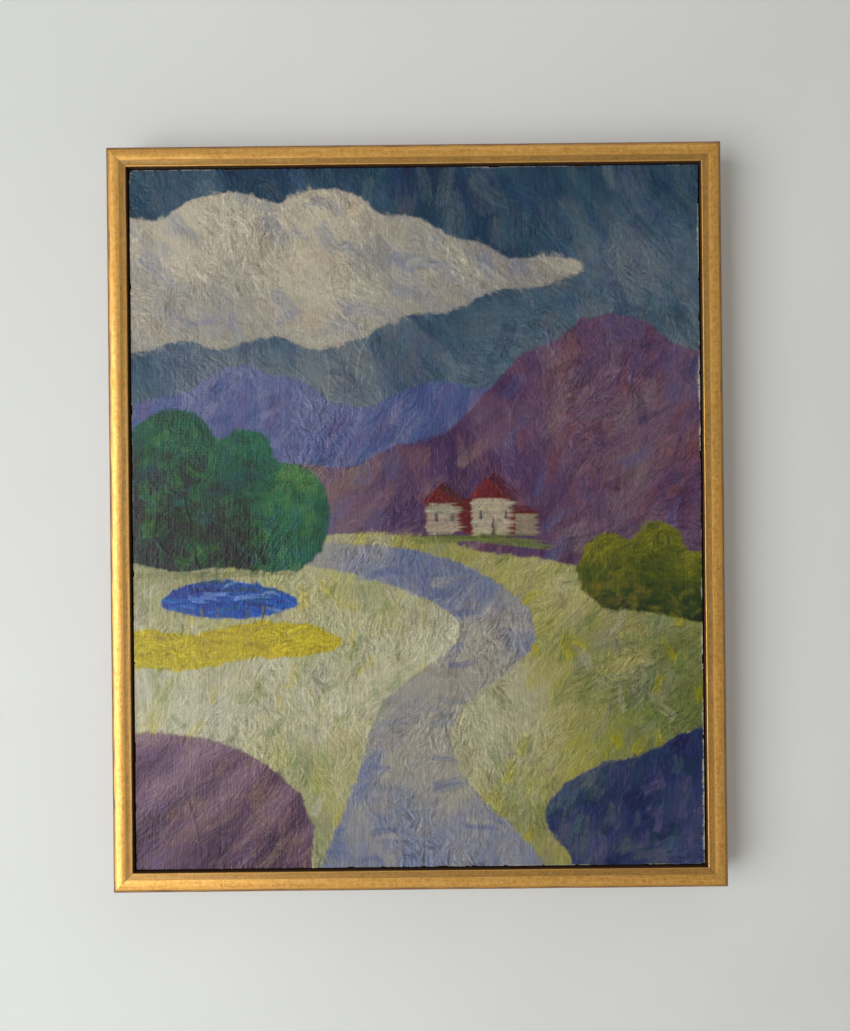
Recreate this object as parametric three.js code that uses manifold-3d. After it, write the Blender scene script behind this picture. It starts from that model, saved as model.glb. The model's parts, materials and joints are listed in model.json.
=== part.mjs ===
// Framed oil painting: a stretched linen canvas held in a gilded float frame, hung from two wall hooks.
// Millimetres. +Z is up, +X is to the viewer's right and the picture faces -Y. The wall is the plane y = 0.
// The origin lies in the wall plane, midway between the two points where the hooks bear on the hanging rings.
import * as THREE from "three";
import { mergeVertices } from "three/addons/utils/BufferGeometryUtils.js";
import Module from "manifold-3d";

const wasm = await Module();
wasm.setup();

// Picture, and the room that the frame leaves round it
const PICTURE_WIDTH = 500;
const PICTURE_HEIGHT = 615;
const FLOAT_GAP = 2.4;

// Frame moulding: an L in section, a gilded wall at the outside and a foot that runs in behind the canvas
const FACE_WIDTH = 17.6;
const FRAME_DEPTH = 34;
const FOOT_REACH = 22;
const FOOT_THICKNESS = 8;
const EDGE_ROUND = 3.4;
const COVE_START = 12.4;
const COVE_DEPTH = 3;
const DOME_RISE = 0.4;
const BEAD_RADIUS = 1;

// Stretcher bars, their wedge keys and the canvas that is wrapped round them
const BAR_WIDTH = 44;
const BAR_THICKNESS = 18.6;
const BAR_BEAD = 4.5;
const BAR_BEAD_SLOPE = 2;
const BAR_ROUND = 1;
const BAR_INNER_THICKNESS = 15;
const CANVAS_THICKNESS = 1;
const HEM_WIDTH = 30;
const FOLD_ROUND = 1;
const CORNER_ROUND = 2;
const PAINT_THICKNESS = 0.8;
const PAINT_MARGIN = 1;
const KEY_LENGTH = 34;
const KEY_HEAD = 12;
const KEY_TIP = 3.5;
const KEY_THICKNESS = 3;
const KEY_ENTRY = 10;
const KEY_BUTT = 4;
const KEY_LEVELS = [5, 10.5];

// Fixings on the back
const WALL_SPACE = 6;
const CANVAS_SCREW_LENGTH = 20;
const SCREW_ALONG = 0.27;
const SCREW_INSET = 12;
const STRAP_SCREW_LENGTH = 13;
const SCREW_RADIUS = 1.6;
const SCREW_TIP = 3;
const SCREW_SIDES = 12;
const STRAP_WIDTH = 12;
const STRAP_LENGTH = 36;
const STRAP_THICKNESS = 1.2;
const STRAP_INSET = 11;
const STRAP_SCREWS = [9, 27];
const RING_WIRE = 1.25;
const RING_SPAN = 17.5;
const RING_REACH = 17;
const RING_CORNER = 2.5;
const RING_LEAN = THREE.MathUtils.degToRad(4);
const RING_STEPS = 44;
const RING_SIDES = 10;
const HANG_DROP = 150;
const BUMPER_RADIUS = 7;
const BUMPER_INSET = 13;
const BUMPER_ROUND = 1;
const BUMPER_SIDES = 20;

// Clearances: between pieces that fit together, at each mitred end, and under the paint
const CLEARANCE = 0.3;
const MITRE_GAP = 0.15;
const PAINT_CLEARANCE = 0.1;

// How far a cutter runs past what it cuts, and how close two vertices lie that are one
const BITE = 1;
const WELD = 1e-4;

// Levels from the wall to the front, all along -Y
const FRAME_BACK = -WALL_SPACE;
const FOOT_FRONT = FRAME_BACK - FOOT_THICKNESS;
const HEM_BACK = FOOT_FRONT - CLEARANCE;
const BAR_BACK = HEM_BACK - CANVAS_THICKNESS - CLEARANCE;
const CANVAS_INSIDE = BAR_BACK - BAR_THICKNESS - CLEARANCE;
const CANVAS_FRONT = CANVAS_INSIDE - CANVAS_THICKNESS;
const PAINT_BACK = CANVAS_FRONT - PAINT_CLEARANCE;

// Outer sizes and the picture's centre, which lies below the origin
const FRAME_WIDTH = PICTURE_WIDTH + 2 * (FLOAT_GAP + FACE_WIDTH);
const FRAME_HEIGHT = PICTURE_HEIGHT + 2 * (FLOAT_GAP + FACE_WIDTH);
const CENTRE_Z = HANG_DROP - FRAME_HEIGHT / 2;
const STRETCHER_WIDTH = PICTURE_WIDTH - 2 * (CANVAS_THICKNESS + CLEARANCE);
const STRETCHER_HEIGHT = PICTURE_HEIGHT - 2 * (CANVAS_THICKNESS + CLEARANCE);

// The ring's straight side lies in the strap's loop, below the point where the hook bears on the ring
const LOOP_BORE = RING_WIRE + CLEARANCE;
const LOOP_RADIUS = LOOP_BORE + STRAP_THICKNESS;
const LOOP_Y = FRAME_BACK + LOOP_RADIUS;
const LOOP_Z = RING_WIRE - RING_REACH * Math.cos(RING_LEAN);
const HANGER_X = FRAME_WIDTH / 2 - STRAP_INSET;

// Finishes
const GILT = { color: 0xc99c4d, roughness: 0.38, metalness: 0.8 };
const PINE = { color: 0xcfae7c, roughness: 0.75, metalness: 0 };
const BEECH = { color: 0xb98d5c, roughness: 0.7, metalness: 0 };
const LINEN = { color: 0xb7a888, roughness: 0.95, metalness: 0 };
const ZINC = { color: 0xb9bcc0, roughness: 0.35, metalness: 1 };
const BRASS_PLATE = { color: 0xb8964f, roughness: 0.35, metalness: 1 };
const BUMPER_RUBBER = { color: 0x4a4846, roughness: 0.85, metalness: 0 };

// The four sides of a rectangle, each turned about Y so that its own +Z points outwards
const SIDES = [
  { name: "top", turn: 0, across: "width", out: "height" },
  { name: "right", turn: Math.PI / 2, across: "height", out: "width" },
  { name: "bottom", turn: Math.PI, across: "width", out: "height" },
  { name: "left", turn: -Math.PI / 2, across: "height", out: "width" },
];
const FRAME_SIZE = { width: FRAME_WIDTH, height: FRAME_HEIGHT };
const PICTURE_SIZE = { width: PICTURE_WIDTH, height: PICTURE_HEIGHT };
const STRETCHER_SIZE = { width: STRETCHER_WIDTH, height: STRETCHER_HEIGHT };
const ENDS = [-1, 1];

const model = new THREE.Group();
const picture = new THREE.Group();
picture.position.set(0, 0, CENTRE_Z);
model.add(picture);
const sideGroups = new Map();
for (const side of SIDES) {
  const group = new THREE.Group();
  group.rotation.y = side.turn;
  picture.add(group);
  sideGroups.set(side.name, group);
}

// Adds one named piece with a material of its own to a group.
function addPiece(name, geometry, finish, group = model) {
  const mesh = new THREE.Mesh(geometry, new THREE.MeshStandardMaterial(finish));
  mesh.name = name;
  group.add(mesh);
  return mesh;
}

// Turns a closed three.js geometry into a solid that can be cut and joined.
function toSolid(geometry) {
  const merged = mergeVertices(positionsOnly(geometry), WELD);
  return new wasm.Manifold(
    new wasm.Mesh({
      numProp: 3,
      vertProperties: new Float32Array(merged.attributes.position.array),
      triVerts: new Uint32Array(merged.index.array),
    }),
  );
}

// Leaves only the positions, so that vertices which meet can be merged.
function positionsOnly(geometry) {
  const bare = geometry.clone();
  bare.deleteAttribute("normal");
  bare.deleteAttribute("uv");
  return bare;
}

// Turns a solid back into a three.js geometry.
function toGeometry(solid) {
  const mesh = solid.getMesh();
  const geometry = new THREE.BufferGeometry();
  geometry.setAttribute("position", new THREE.BufferAttribute(new Float32Array(mesh.vertProperties), 3));
  geometry.setIndex(new THREE.BufferAttribute(new Uint32Array(mesh.triVerts), 1));
  geometry.computeVertexNormals();
  return geometry;
}

// Cuts every tool geometry out of a geometry.
function cut(geometry, tools) {
  let solid = toSolid(geometry);
  for (const tool of tools) {
    solid = solid.subtract(toSolid(tool));
  }
  return toGeometry(solid);
}

// A box between two corners.
function boxBetween(low, high) {
  const size = high.map((value, i) => value - low[i]);
  const box = new THREE.BoxGeometry(...size);
  return box.translate(...low.map((value, i) => value + size[i] / 2));
}

// A drill along Y with a point at x, z, from one level to another.
function drill(radius, x, z, fromY, toY) {
  const geometry = new THREE.CylinderGeometry(radius, radius, Math.abs(toY - fromY), SCREW_SIDES);
  return geometry.translate(x, (fromY + toY) / 2, z);
}

// A mitred length of moulding. The section's x runs inwards from the outer edge and its y forwards from the
// back. The length lies along X, outwards is +Z and forwards is -Y.
function mitredBar(section, length) {
  const geometry = new THREE.ExtrudeGeometry(section, {
    depth: length,
    steps: 1,
    curveSegments: 6,
    bevelEnabled: false,
  });
  const position = geometry.attributes.position;
  for (let i = 0; i < position.count; i += 1) {
    const inset = position.getX(i);
    const forward = position.getY(i);
    const atStart = position.getZ(i) < length / 2;
    const along = length / 2 - inset - MITRE_GAP;
    position.setXYZ(i, atStart ? along : -along, -forward, -inset);
  }
  // The section starts at the +X end, which keeps the faces outwards.
  geometry.computeVertexNormals();
  return geometry;
}

// Gilded wall with a rounded outer edge, a slightly domed face, a cove and a bead at the sight edge.
function mouldingSection() {
  const section = new THREE.Shape();
  const front = FRAME_DEPTH;
  const crown = (EDGE_ROUND + COVE_START) / 2;
  const shoulder = front - DOME_RISE;
  const coveStep = 0.2;
  const coveFloor = front - COVE_DEPTH;
  const sightCentre = FACE_WIDTH - BEAD_RADIUS;
  section.moveTo(0, 0);
  section.lineTo(0, front - EDGE_ROUND);
  section.quadraticCurveTo(0, shoulder - coveStep, EDGE_ROUND, shoulder);
  section.quadraticCurveTo(crown, front + DOME_RISE, COVE_START, shoulder);
  section.lineTo(COVE_START + coveStep, shoulder - DOME_RISE);
  section.quadraticCurveTo(COVE_START + 2 * coveStep, coveFloor, sightCentre - BEAD_RADIUS, coveFloor);
  section.absarc(sightCentre, coveFloor, BEAD_RADIUS, Math.PI, 0, true);
  section.lineTo(FACE_WIDTH, FOOT_THICKNESS);
  section.lineTo(FACE_WIDTH + FOOT_REACH, FOOT_THICKNESS);
  section.lineTo(FACE_WIDTH + FOOT_REACH, 0);
  return section;
}

// Pine bar with a raised bead at its outer edge, so that the canvas touches nothing else.
function stretcherSection() {
  const section = new THREE.Shape();
  section.moveTo(0, 0);
  section.lineTo(0, BAR_THICKNESS - BAR_ROUND);
  section.quadraticCurveTo(0, BAR_THICKNESS, BAR_ROUND, BAR_THICKNESS);
  section.lineTo(BAR_BEAD, BAR_THICKNESS);
  section.lineTo(BAR_BEAD + BAR_BEAD_SLOPE, BAR_THICKNESS - BAR_BEAD_SLOPE);
  section.lineTo(BAR_WIDTH - BAR_ROUND, BAR_INNER_THICKNESS);
  section.lineTo(BAR_WIDTH, BAR_INNER_THICKNESS - BAR_ROUND);
  section.lineTo(BAR_WIDTH, 0);
  return section;
}

// Pan-head screw along Y: its head stands on the plane y = 0 towards +Y and its shank runs to -Y.
function panScrew(length) {
  const headRadius = SCREW_RADIUS * 2.2;
  const headHeight = SCREW_RADIUS * 1.1;
  const points = [
    [0, -length],
    [SCREW_RADIUS, -length + SCREW_TIP],
    [SCREW_RADIUS, 0],
    [headRadius, 0],
    [headRadius, headHeight * 0.45],
    [headRadius * 0.7, headHeight * 0.9],
    [0, headHeight],
  ];
  const body = new THREE.LatheGeometry(
    points.map(([radius, y]) => new THREE.Vector2(radius, y)),
    SCREW_SIDES,
  );
  const arm = headRadius * 0.62;
  const slot = SCREW_RADIUS * 0.28;
  const floor = headHeight * 0.35;
  const recess = [
    boxBetween([-arm, floor, -slot], [arm, headHeight + BITE, slot]),
    boxBetween([-slot, floor, -arm], [slot, headHeight + BITE, arm]),
  ];
  return cut(body, recess);
}

// The places of the two screws through a side's foot, from the picture's centre.
function screwPlaces(side) {
  const along = PICTURE_SIZE[side.across] * SCREW_ALONG;
  return ENDS.map((end) => ({ x: end * along, z: PICTURE_SIZE[side.out] / 2 - SCREW_INSET }));
}

// The places of the strap's screws in a side rail, counted in that rail's own X; the level rails have none.
function strapScrewPlaces(side) {
  if (side.name !== "left" && side.name !== "right") {
    return [];
  }
  const upwards = side.name === "left" ? 1 : -1;
  return STRAP_SCREWS.map((drop) => ({
    x: upwards * (LOOP_Z - drop - CENTRE_Z),
    z: FRAME_WIDTH / 2 - STRAP_INSET,
  }));
}

// Frame rails, stretcher bars, screws and keys, side by side
for (const side of SIDES) {
  const group = sideGroups.get(side.name);
  const holeRadius = SCREW_RADIUS + CLEARANCE;
  const footScrews = screwPlaces(side);
  const frameReach = FRAME_SIZE[side.out] / 2;
  const barReach = STRETCHER_SIZE[side.out] / 2;

  const railHoles = [
    ...footScrews.map((place) => ({ ...place, depth: FOOT_THICKNESS + BITE })),
    ...strapScrewPlaces(side).map((place) => ({ ...place, depth: STRAP_SCREW_LENGTH })),
  ];
  const railDrills = railHoles.map(({ x, z, depth }) => drill(holeRadius, x, z - frameReach, BITE, -depth));
  const rail = cut(mitredBar(mouldingSection(), FRAME_SIZE[side.across]), railDrills);
  addPiece(`frame_rail_${side.name}`, rail, GILT, group).position.set(0, FRAME_BACK, frameReach);

  // Slots for the keys, one at each end of the bar's inner edge; level and upright keys lie at two depths
  const level = KEY_LEVELS[side.out === "height" ? 0 : 1];
  const innerReach = barReach - BAR_WIDTH;
  const neighbour = STRETCHER_SIZE[side.across] / 2 - BAR_WIDTH;
  const slotHalf = KEY_THICKNESS / 2 + CLEARANCE;
  const slotWidth = KEY_TIP + ((KEY_HEAD - KEY_TIP) * KEY_ENTRY) / KEY_LENGTH + 2 * CLEARANCE + BITE;
  const slots = ENDS.map((end) => {
    const edges = [end * neighbour, end * (neighbour - slotWidth)];
    return boxBetween(
      [Math.min(...edges), -level - slotHalf, -BAR_WIDTH - BITE],
      [Math.max(...edges), -level + slotHalf, -BAR_WIDTH + KEY_ENTRY + CLEARANCE],
    );
  });
  const barDrills = footScrews.map(({ x, z }) => {
    const depth = CANVAS_SCREW_LENGTH + BAR_BACK - FRAME_BACK + CLEARANCE;
    return drill(holeRadius, x, z - barReach, BITE, -depth);
  });
  const bar = cut(mitredBar(stretcherSection(), STRETCHER_SIZE[side.across]), [...slots, ...barDrills]);
  addPiece(`stretcher_bar_${side.name}`, bar, PINE, group).position.set(0, BAR_BACK, barReach);

  ENDS.forEach((end, index) => {
    const outline = new THREE.Shape();
    outline.moveTo(0, KEY_ENTRY);
    outline.lineTo(0, KEY_ENTRY - KEY_LENGTH);
    outline.lineTo(-end * KEY_HEAD, KEY_ENTRY - KEY_LENGTH);
    outline.lineTo(-end * KEY_HEAD, KEY_ENTRY - KEY_LENGTH + KEY_BUTT);
    outline.lineTo(-end * KEY_TIP, KEY_ENTRY);
    const wedge = new THREE.ExtrudeGeometry(outline, { depth: KEY_THICKNESS, bevelEnabled: false });
    wedge.rotateX(Math.PI / 2);
    wedge.translate(0, KEY_THICKNESS / 2, 0);
    const key = addPiece(`stretcher_key_${side.name}_${index + 1}`, wedge, BEECH, group);
    key.position.set(end * (neighbour - CLEARANCE), BAR_BACK - level, innerReach);
  });

  footScrews.forEach(({ x, z }, index) => {
    const name = `canvas_screw_${side.name}_${index + 1}`;
    addPiece(name, panScrew(CANVAS_SCREW_LENGTH), ZINC, group).position.set(x, FRAME_BACK, z);
  });
}

// A rectangle with rounded corners, centred on the origin.
function roundedRectangle(width, height, radius) {
  const shape = new THREE.Shape();
  const x = width / 2 - radius;
  const y = height / 2 - radius;
  shape.absarc(x, y, radius, 0, Math.PI / 2, false);
  shape.absarc(-x, y, radius, Math.PI / 2, Math.PI, false);
  shape.absarc(-x, -y, radius, Math.PI, Math.PI * 1.5, false);
  shape.absarc(x, -y, radius, Math.PI * 1.5, Math.PI * 2, false);
  return shape;
}

// Canvas: a front sheet, four sides wrapped round the bars and a hem on their backs, open in the middle
const wrapDepth = HEM_BACK - CANVAS_FRONT;
const wrapped = new THREE.ExtrudeGeometry(roundedRectangle(PICTURE_WIDTH, PICTURE_HEIGHT, CORNER_ROUND), {
  depth: wrapDepth - 2 * FOLD_ROUND,
  steps: 1,
  curveSegments: 3,
  bevelEnabled: true,
  bevelThickness: FOLD_ROUND,
  bevelSize: FOLD_ROUND,
  bevelOffset: -FOLD_ROUND,
  bevelSegments: 2,
});
wrapped.rotateX(Math.PI / 2);
wrapped.translate(0, HEM_BACK - FOLD_ROUND, 0);
const innerX = PICTURE_WIDTH / 2 - CANVAS_THICKNESS;
const innerZ = PICTURE_HEIGHT / 2 - CANVAS_THICKNESS;
const hemX = PICTURE_WIDTH / 2 - HEM_WIDTH;
const hemZ = PICTURE_HEIGHT / 2 - HEM_WIDTH;
const canvasCuts = [
  boxBetween([-innerX, CANVAS_INSIDE, -innerZ], [innerX, HEM_BACK - CANVAS_THICKNESS, innerZ]),
  boxBetween([-hemX, CANVAS_INSIDE + BITE, -hemZ], [hemX, HEM_BACK + BITE, hemZ]),
];
for (const side of SIDES) {
  const turn = new THREE.Matrix4().makeRotationY(side.turn);
  for (const { x, z } of screwPlaces(side)) {
    const hole = drill(SCREW_RADIUS + CLEARANCE, x, z, HEM_BACK + BITE, HEM_BACK - CANVAS_THICKNESS - BITE);
    canvasCuts.push(hole.applyMatrix4(turn));
  }
}
addPiece("linen_canvas", cut(wrapped, canvasCuts), LINEN, picture);

// Paint passages. Each outline is a smooth curve through a few points, in millimetres from the picture's
// centre, x to the right and y up; only the gables are angular. Later passages lie in the place of earlier
// ones.
const EDGE_X = PICTURE_WIDTH / 2 + 20;
const EDGE_Y = PICTURE_HEIGHT / 2 + 20;
const OUTLINE_POINTS = 84;

// A passage below a skyline: the skyline's points run from left to right.
function belowSkyline(points) {
  return { line: points, corners: [[EDGE_X, -EDGE_Y], [-EDGE_X, -EDGE_Y]] };
}

const PASSAGES = [
  {
    name: "paint_cloud",
    color: 0xa9a596,
    blob: [
      [-300, 150], [-240, 148], [-205, 158], [-170, 150], [-128, 162], [-92, 150], [-50, 158], [-14, 176],
      [30, 182], [66, 198], [110, 204], [150, 220], [118, 228], [84, 226], [60, 240], [28, 246], [6, 262],
      [-28, 266], [-52, 284], [-92, 288], [-120, 276], [-150, 286], [-196, 280], [-226, 262], [-262, 268],
      [-300, 258],
    ],
  },
  {
    name: "paint_far_hills",
    color: 0x6c72a0,
    ...belowSkyline([
      [-EDGE_X, 88], [-236, 104], [-204, 110], [-176, 128], [-150, 134], [-128, 124], [-100, 120], [-74, 102],
      [-44, 96], [-16, 108], [20, 118], [52, 112], [90, 124], [130, 118], [EDGE_X, 100],
    ]),
  },
  {
    name: "paint_near_hill",
    color: 0x6e4a63,
    ...belowSkyline([
      [-EDGE_X, 22], [-214, 38], [-160, 34], [-110, 48], [-60, 44], [-20, 62], [20, 70], [58, 104], [92, 138],
      [122, 152], [150, 172], [178, 176], [204, 166], [226, 150], [EDGE_X, 138],
    ]),
  },
  {
    name: "paint_meadow",
    color: 0xb0ab63,
    ...belowSkyline([
      [-EDGE_X, -30], [-216, -22], [-160, -28], [-100, -18], [-40, -14], [20, -22], [70, -34], [120, -40],
      [170, -58], [214, -66], [EDGE_X, -84],
    ]),
  },
  {
    name: "paint_river",
    color: 0xa5a3a6,
    blob: [
      [-120, -22], [-76, -24], [-34, -25], [0, -31], [36, -43], [72, -61], [98, -86], [100, -113], [76, -138],
      [44, -160], [26, -188], [34, -222], [62, -258], [96, -290], [120, -340], [-90, -340], [-84, -300],
      [-66, -258], [-50, -220], [-40, -186], [-22, -156], [8, -132], [34, -112], [38, -94], [16, -76],
      [-16, -62], [-52, -50], [-90, -42], [-130, -38],
    ],
  },
  {
    name: "paint_pond",
    color: 0x2a4f92,
    blob: [
      [-212, -62], [-186, -55], [-150, -57], [-118, -66], [-104, -74], [-124, -82], [-160, -87], [-200, -84],
      [-226, -74],
    ],
  },
  {
    name: "paint_furrows",
    color: 0x84606a,
    blob: [
      [-300, -196], [-240, -188], [-190, -194], [-150, -208], [-118, -232], [-98, -262], [-96, -300],
      [-104, -340], [-300, -340],
    ],
  },
  {
    name: "paint_bank",
    color: 0x4c6076,
    blob: [
      [110, -262], [128, -238], [160, -220], [196, -212], [232, -194], [300, -182], [300, -340], [148, -340],
      [132, -300],
    ],
  },
  {
    name: "paint_sunlit_strip",
    color: 0xb8a23a,
    blob: [
      [-300, -108], [-250, -98], [-196, -102], [-140, -92], [-92, -96], [-66, -110], [-96, -120],
      [-150, -122], [-206, -132], [-256, -130], [-300, -140],
    ],
  },
  {
    name: "paint_grove",
    color: 0x2f5a4a,
    blob: [
      [-300, 52], [-262, 62], [-244, 84], [-214, 96], [-188, 88], [-176, 68], [-156, 78], [-132, 70],
      [-122, 48], [-104, 46], [-84, 30], [-78, 8], [-82, -18], [-98, -40], [-130, -46], [-170, -42],
      [-210, -46], [-250, -38], [-300, -44],
    ],
  },
  {
    name: "paint_copse",
    color: 0x6d7433,
    blob: [
      [142, -54], [148, -30], [168, -16], [188, -22], [204, -8], [228, -14], [240, -34], [300, -20],
      [300, -96], [236, -92], [196, -84], [160, -78],
    ],
  },
  {
    name: "paint_roofs",
    color: 0x75262f,
    gables: [
      [8, -8], [8, 12], [22, 28], [40, 14], [48, 14], [62, 34], [84, 16], [84, 4], [104, 4], [104, -12],
      [60, -16],
    ],
  },
];

// Turns pairs of numbers into points.
function toVectors(pairs) {
  return pairs.map(([x, y]) => new THREE.Vector2(x, y));
}

// A smooth curve through a passage's points, closed round it or run along its skyline.
function smoothOutline({ line, corners, blob }) {
  const through = toVectors(line ?? blob).map(({ x, y }) => new THREE.Vector3(x, y, 0));
  const curve = new THREE.CatmullRomCurve3(through, line === undefined, "centripetal");
  const points = curve.getPoints(OUTLINE_POINTS).map(({ x, y }) => new THREE.Vector2(x, y));
  return line === undefined ? points.slice(0, -1) : [...points, ...toVectors(corners)];
}

// The outline of a passage as points, opened up by a margin along its own normals.
function passageOutline(passage, margin) {
  const points = passage.gables ? toVectors(passage.gables) : smoothOutline(passage);
  const outwards = THREE.ShapeUtils.isClockWise(points) ? -1 : 1;
  return points.map((point, i) => {
    const before = points[(i + points.length - 1) % points.length];
    const after = points[(i + 1) % points.length];
    const along = after.clone().sub(before).normalize();
    return new THREE.Vector2(point.x + outwards * margin * along.y, point.y - outwards * margin * along.x);
  });
}

// A slab of paint with the given outline, its back on the canvas.
function paintSlab(points, spare = 0) {
  const slab = new THREE.ExtrudeGeometry(new THREE.Shape(points), {
    depth: PAINT_THICKNESS + 2 * spare,
    steps: 1,
    bevelEnabled: false,
  });
  slab.translate(0, 0, -spare);
  slab.rotateX(Math.PI / 2);
  return slab.translate(0, PAINT_BACK, 0);
}

// Keeps the largest piece of a solid and drops the scraps.
function largest(solid) {
  const pieces = solid.decompose();
  return pieces.reduce((best, piece) => (piece.volume() > best.volume() ? piece : best));
}

const paintWidth = PICTURE_WIDTH - 2 * PAINT_MARGIN;
const paintHeight = PICTURE_HEIGHT - 2 * PAINT_MARGIN;
const paintRectangle = roundedRectangle(paintWidth, paintHeight, CORNER_ROUND);
const paintField = toSolid(paintSlab(paintRectangle.getPoints(3)));

// The part of a passage that later passages leave free.
function freeOfLater(solid, index) {
  let free = solid;
  for (const later of PASSAGES.slice(index + 1)) {
    free = free.subtract(toSolid(paintSlab(passageOutline(later, CLEARANCE), BITE)));
  }
  return free;
}

addPiece("paint_sky", toGeometry(largest(freeOfLater(paintField, -1))), paint(0x5f7488), picture);
PASSAGES.forEach((passage, index) => {
  const whole = toSolid(paintSlab(passageOutline(passage, 0), BITE)).intersect(paintField);
  const free = freeOfLater(whole, index);
  if (passage.name === "paint_meadow") {
    // The river parts the meadow, so each bank is a piece of its own.
    const halves = free.decompose().sort((a, b) => b.volume() - a.volume());
    halves.slice(0, 2).forEach((half) => {
      const box = half.boundingBox();
      const isLeft = box.min[0] + box.max[0] < 0;
      addPiece(`paint_meadow_${isLeft ? "left" : "right"}`, toGeometry(half), paint(passage.color), picture);
    });
  } else {
    addPiece(passage.name, toGeometry(largest(free)), paint(passage.color), picture);
  }
});

// The finish of dry oil paint of one colour.
function paint(color) {
  return { color, roughness: 0.5, metalness: 0 };
}

// Strap hanger: a strip folded round the ring's straight side, with two screw holes below the loop
function strapGeometry() {
  const outline = new THREE.Shape();
  const plateFront = FRAME_BACK + STRAP_THICKNESS - LOOP_Y;
  const meet = Math.asin(-plateFront / LOOP_RADIUS);
  outline.moveTo(FRAME_BACK - LOOP_Y, -STRAP_LENGTH);
  outline.lineTo(FRAME_BACK - LOOP_Y, 0);
  outline.absarc(0, 0, LOOP_RADIUS, Math.PI, -Math.PI / 2 - meet, true);
  outline.lineTo(plateFront, -STRAP_LENGTH);
  const bore = new THREE.Path();
  bore.absarc(0, 0, LOOP_BORE, 0, Math.PI * 2, false);
  outline.holes.push(bore);
  const strap = new THREE.ExtrudeGeometry(outline, {
    depth: STRAP_WIDTH,
    steps: 1,
    curveSegments: 10,
    bevelEnabled: false,
  });
  strap.translate(0, 0, -STRAP_WIDTH / 2);
  strap.applyMatrix4(
    new THREE.Matrix4().makeBasis(
      new THREE.Vector3(0, 1, 0),
      new THREE.Vector3(0, 0, 1),
      new THREE.Vector3(1, 0, 0),
    ),
  );
  const holes = STRAP_SCREWS.map((drop) =>
    drill(SCREW_RADIUS + CLEARANCE, 0, -drop, FRAME_BACK - LOOP_Y - BITE, plateFront + BITE),
  );
  return cut(strap, holes);
}

// The closed D of the ring's wire, its straight side on the origin and its bow above.
class RingCurve extends THREE.Curve {
  constructor() {
    super();
    const half = RING_SPAN / 2;
    this.path = new THREE.Path();
    this.path.moveTo(0, 0);
    this.path.lineTo(half - RING_CORNER, 0);
    this.path.absarc(half - RING_CORNER, RING_CORNER, RING_CORNER, -Math.PI / 2, 0, false);
    this.path.lineTo(half, RING_REACH - half);
    this.path.absarc(0, RING_REACH - half, half, 0, Math.PI, false);
    this.path.lineTo(-half, RING_CORNER);
    this.path.absarc(-half + RING_CORNER, RING_CORNER, RING_CORNER, Math.PI, Math.PI * 1.5, false);
    this.path.lineTo(0, 0);
  }

  getPoint(t, target = new THREE.Vector3()) {
    const point = this.path.getPointAt(t === 1 ? 0 : t);
    return target.set(point.x, 0, point.y);
  }
}

for (const [side, sideways] of [["left", -1], ["right", 1]]) {
  const hanger = new THREE.Group();
  hanger.position.set(sideways * HANGER_X, LOOP_Y, LOOP_Z);
  model.add(hanger);
  addPiece(`hanger_strap_${side}`, strapGeometry(), BRASS_PLATE, hanger);

  // At rest the ring stands up and leans back until it almost touches the frame
  const ring = new THREE.TubeGeometry(new RingCurve(), RING_STEPS, RING_WIRE, RING_SIDES, true);
  addPiece(`hanger_ring_${side}`, ring, BRASS_PLATE, hanger).rotation.x = RING_LEAN;

  STRAP_SCREWS.forEach((drop, index) => {
    const name = `hanger_screw_${side}_${index + 1}`;
    const screw = addPiece(name, panScrew(STRAP_SCREW_LENGTH), BRASS_PLATE, hanger);
    screw.position.set(0, FRAME_BACK + STRAP_THICKNESS - LOOP_Y, -drop);
  });

  // Bumper: a rubber foot that keeps the frame's lower edge off the wall
  const bumperProfile = [
    [0, FRAME_BACK],
    [BUMPER_RADIUS, FRAME_BACK],
    [BUMPER_RADIUS, FRAME_BACK + BUMPER_ROUND],
    [BUMPER_RADIUS - BUMPER_ROUND, -BUMPER_ROUND],
    [BUMPER_RADIUS - 2 * BUMPER_ROUND, 0],
    [0, 0],
  ].map(([radius, y]) => new THREE.Vector2(radius, y));
  const bumper = new THREE.LatheGeometry(bumperProfile, BUMPER_SIDES);
  const foot = addPiece(`wall_bumper_${side}`, bumper, BUMPER_RUBBER, picture);
  foot.position.x = sideways * (FRAME_WIDTH / 2 - BUMPER_INSET);
  foot.position.z = BUMPER_INSET - FRAME_HEIGHT / 2;
}

export default model;
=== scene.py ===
"""Framed oil painting: the looks of the gilded float frame, the painted canvas and the fixings on its back.

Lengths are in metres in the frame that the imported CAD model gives: +Z up, +X to the viewer's right, the
picture facing -Y and the wall on y = 0. The painting alone is worked out in millimetres on a grid.
"""

import json
import logging
import math
from dataclasses import dataclass, field, replace
from enum import Enum

import bpy
import numpy as np
from mathutils import Matrix, Vector

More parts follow.
